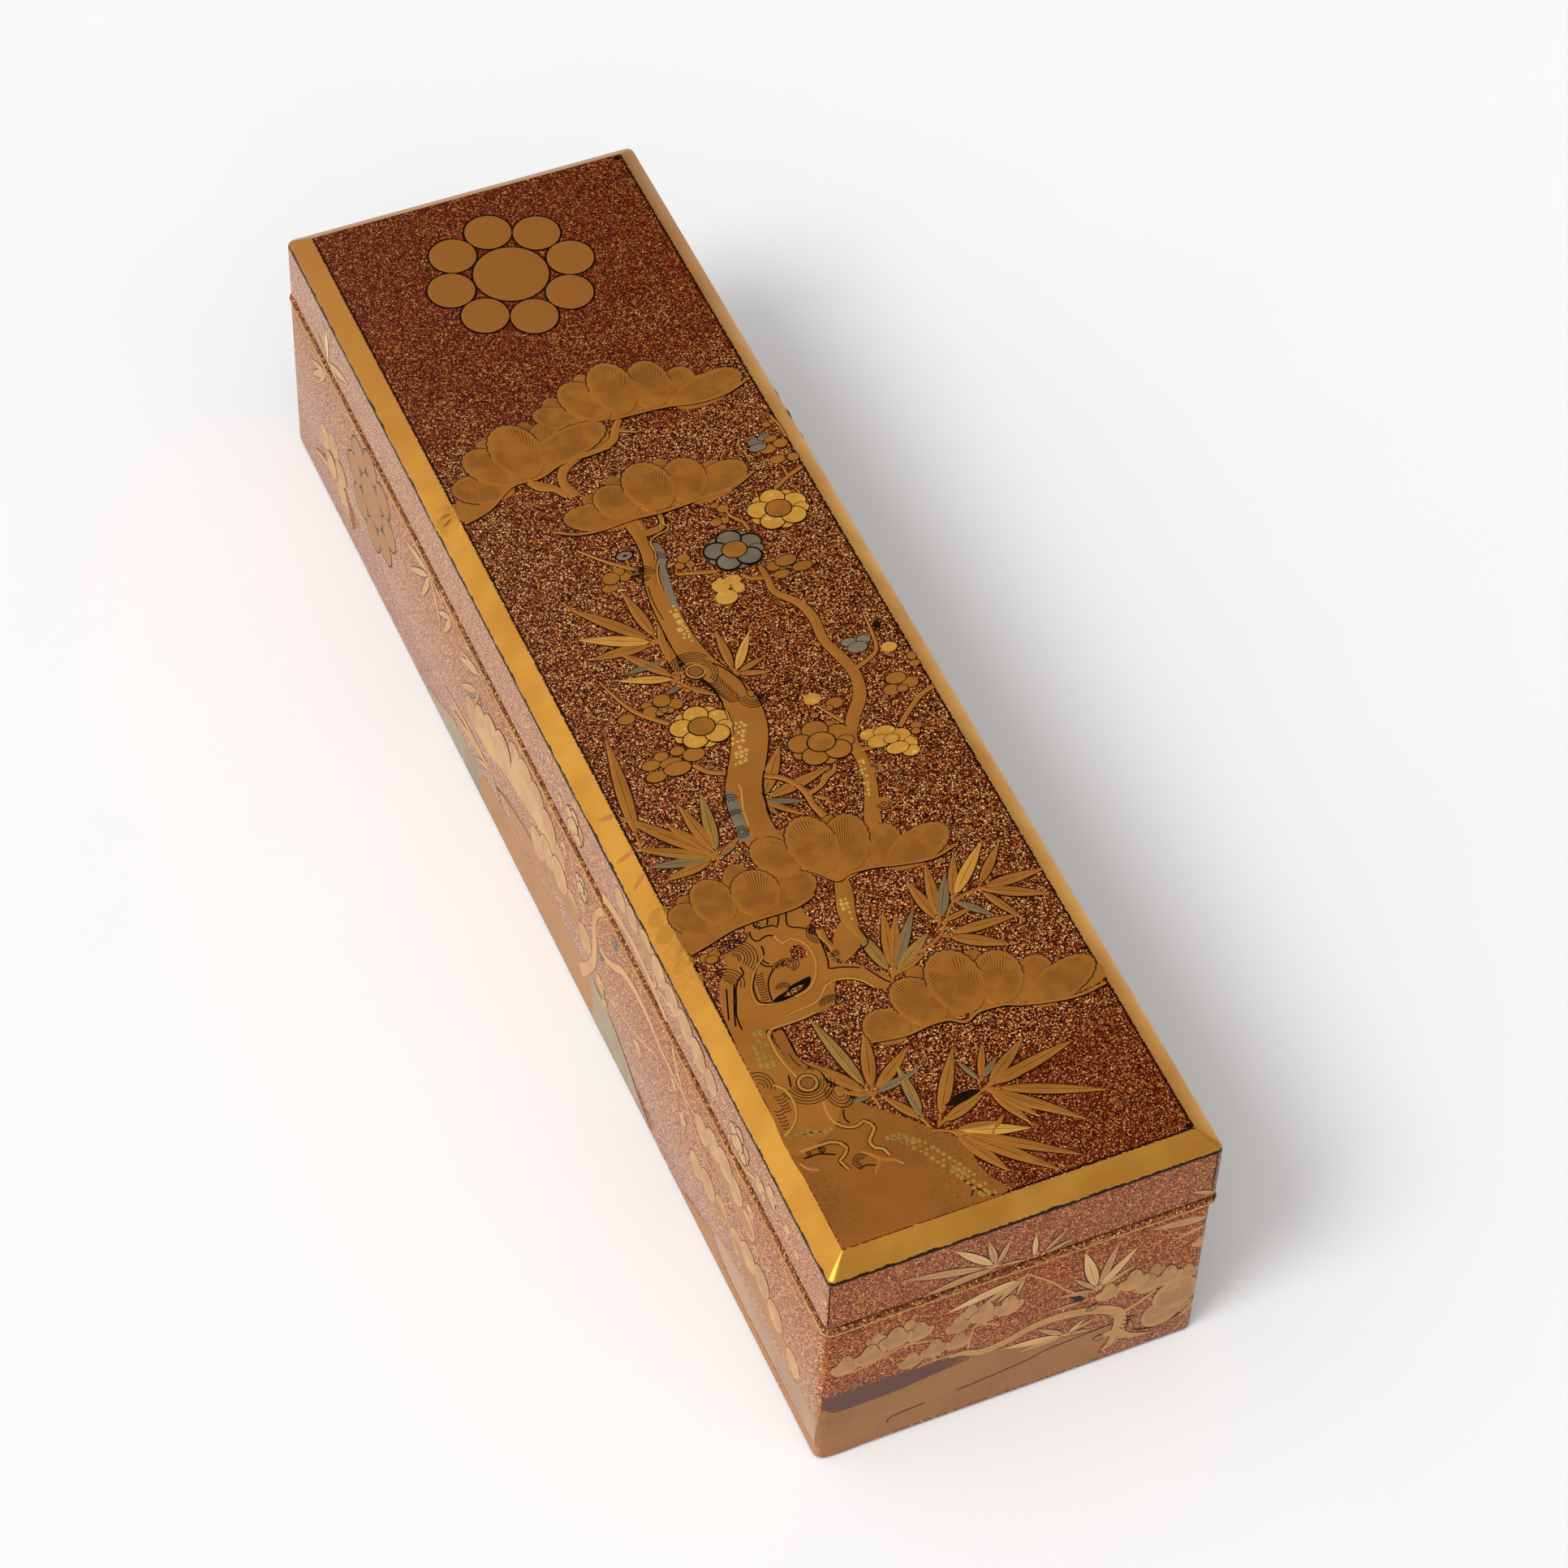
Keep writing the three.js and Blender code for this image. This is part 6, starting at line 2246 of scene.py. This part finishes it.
def build_world():
    """Soft daylight, a panel and a dark flag for the gloss, and white for the camera."""
    world = bpy.data.worlds.new("soft_room")
    bpy.context.scene.world = world
    world.use_nodes = True
    tree = world.node_tree
    tree.nodes.clear()
    way = add_node(tree, "TexCoord").outputs["Generated"]
    fill = lobe(tree, way, toward_window, -0.3, 1.0, 0.21, 1.26)
    panel = lobe(tree, way, toward_panel, 0.45, 0.95, 0.4, 0.78)
    flag = lobe(tree, way, toward_flag, 0.72, 0.96, 0.0, 0.38)
    gloss = add_node(tree, "Math", panel, flag, operation="SUBTRACT", use_clamp=True)
    path = add_node(tree, "LightPath").outputs
    level = add_node(tree, "Mix", path["Is Glossy Ray"], fill, gloss)
    lit = add_node(tree, "Background", "#FFFFFF", level)
    seen = add_node(
        tree, "Math", path["Is Camera Ray"], path["Is Transmission Ray"], operation="ADD", use_clamp=True
    )
    white = add_node(tree, "Background", "#F9F9F9", 1.0)
    add_node(tree, "OutputWorld", add_node(tree, "MixShader", seen, lit, white))


def add_sun(name, toward, power, width):
    """A wide soft sun that stands toward a direction."""
    data = bpy.data.lights.new(name, "SUN")
    data.energy = power
    data.angle = math.radians(width)
    lamp = bpy.data.objects.new(name, data)
    bpy.context.scene.collection.objects.link(lamp)
    lamp.rotation_euler = (-Vector(toward)).to_track_quat("-Z", "Y").to_euler()


build_world()
add_sun("window_at_the_left", toward_sun, sun_power, sun_width)
print("world and lamps set")

# %% Camera at the photograph's place
camera_place = Vector((-0.2348, -0.5201, 0.7122))
camera_azimuth = math.radians(-25.539)
camera_elevation = math.radians(50.50)
camera_roll = math.radians(2.711)
camera_lens = 111.42
camera_sensor = 36


def build_camera():
    flat = math.cos(camera_elevation)
    back = Vector((
        math.sin(camera_azimuth) * flat, -math.cos(camera_azimuth) * flat,
        math.sin(camera_elevation),
    ))
    right = Vector((0, 0, 1)).cross(back).normalized()
    up = back.cross(right)
    across = right * math.cos(camera_roll) + up * math.sin(camera_roll)
    upward = up * math.cos(camera_roll) - right * math.sin(camera_roll)
    data = bpy.data.cameras.new("camera")
    data.sensor_width = camera_sensor
    data.lens = camera_lens
    camera = bpy.data.objects.new("camera", data)
    bpy.context.scene.collection.objects.link(camera)
    turn = Matrix((across, upward, back)).transposed()
    camera.matrix_world = Matrix.Translation(camera_place) @ turn.to_4x4()
    bpy.context.scene.camera = camera


build_camera()
bpy.context.scene.view_settings.view_transform = "Standard"
print("camera stands at", tuple(camera_place))
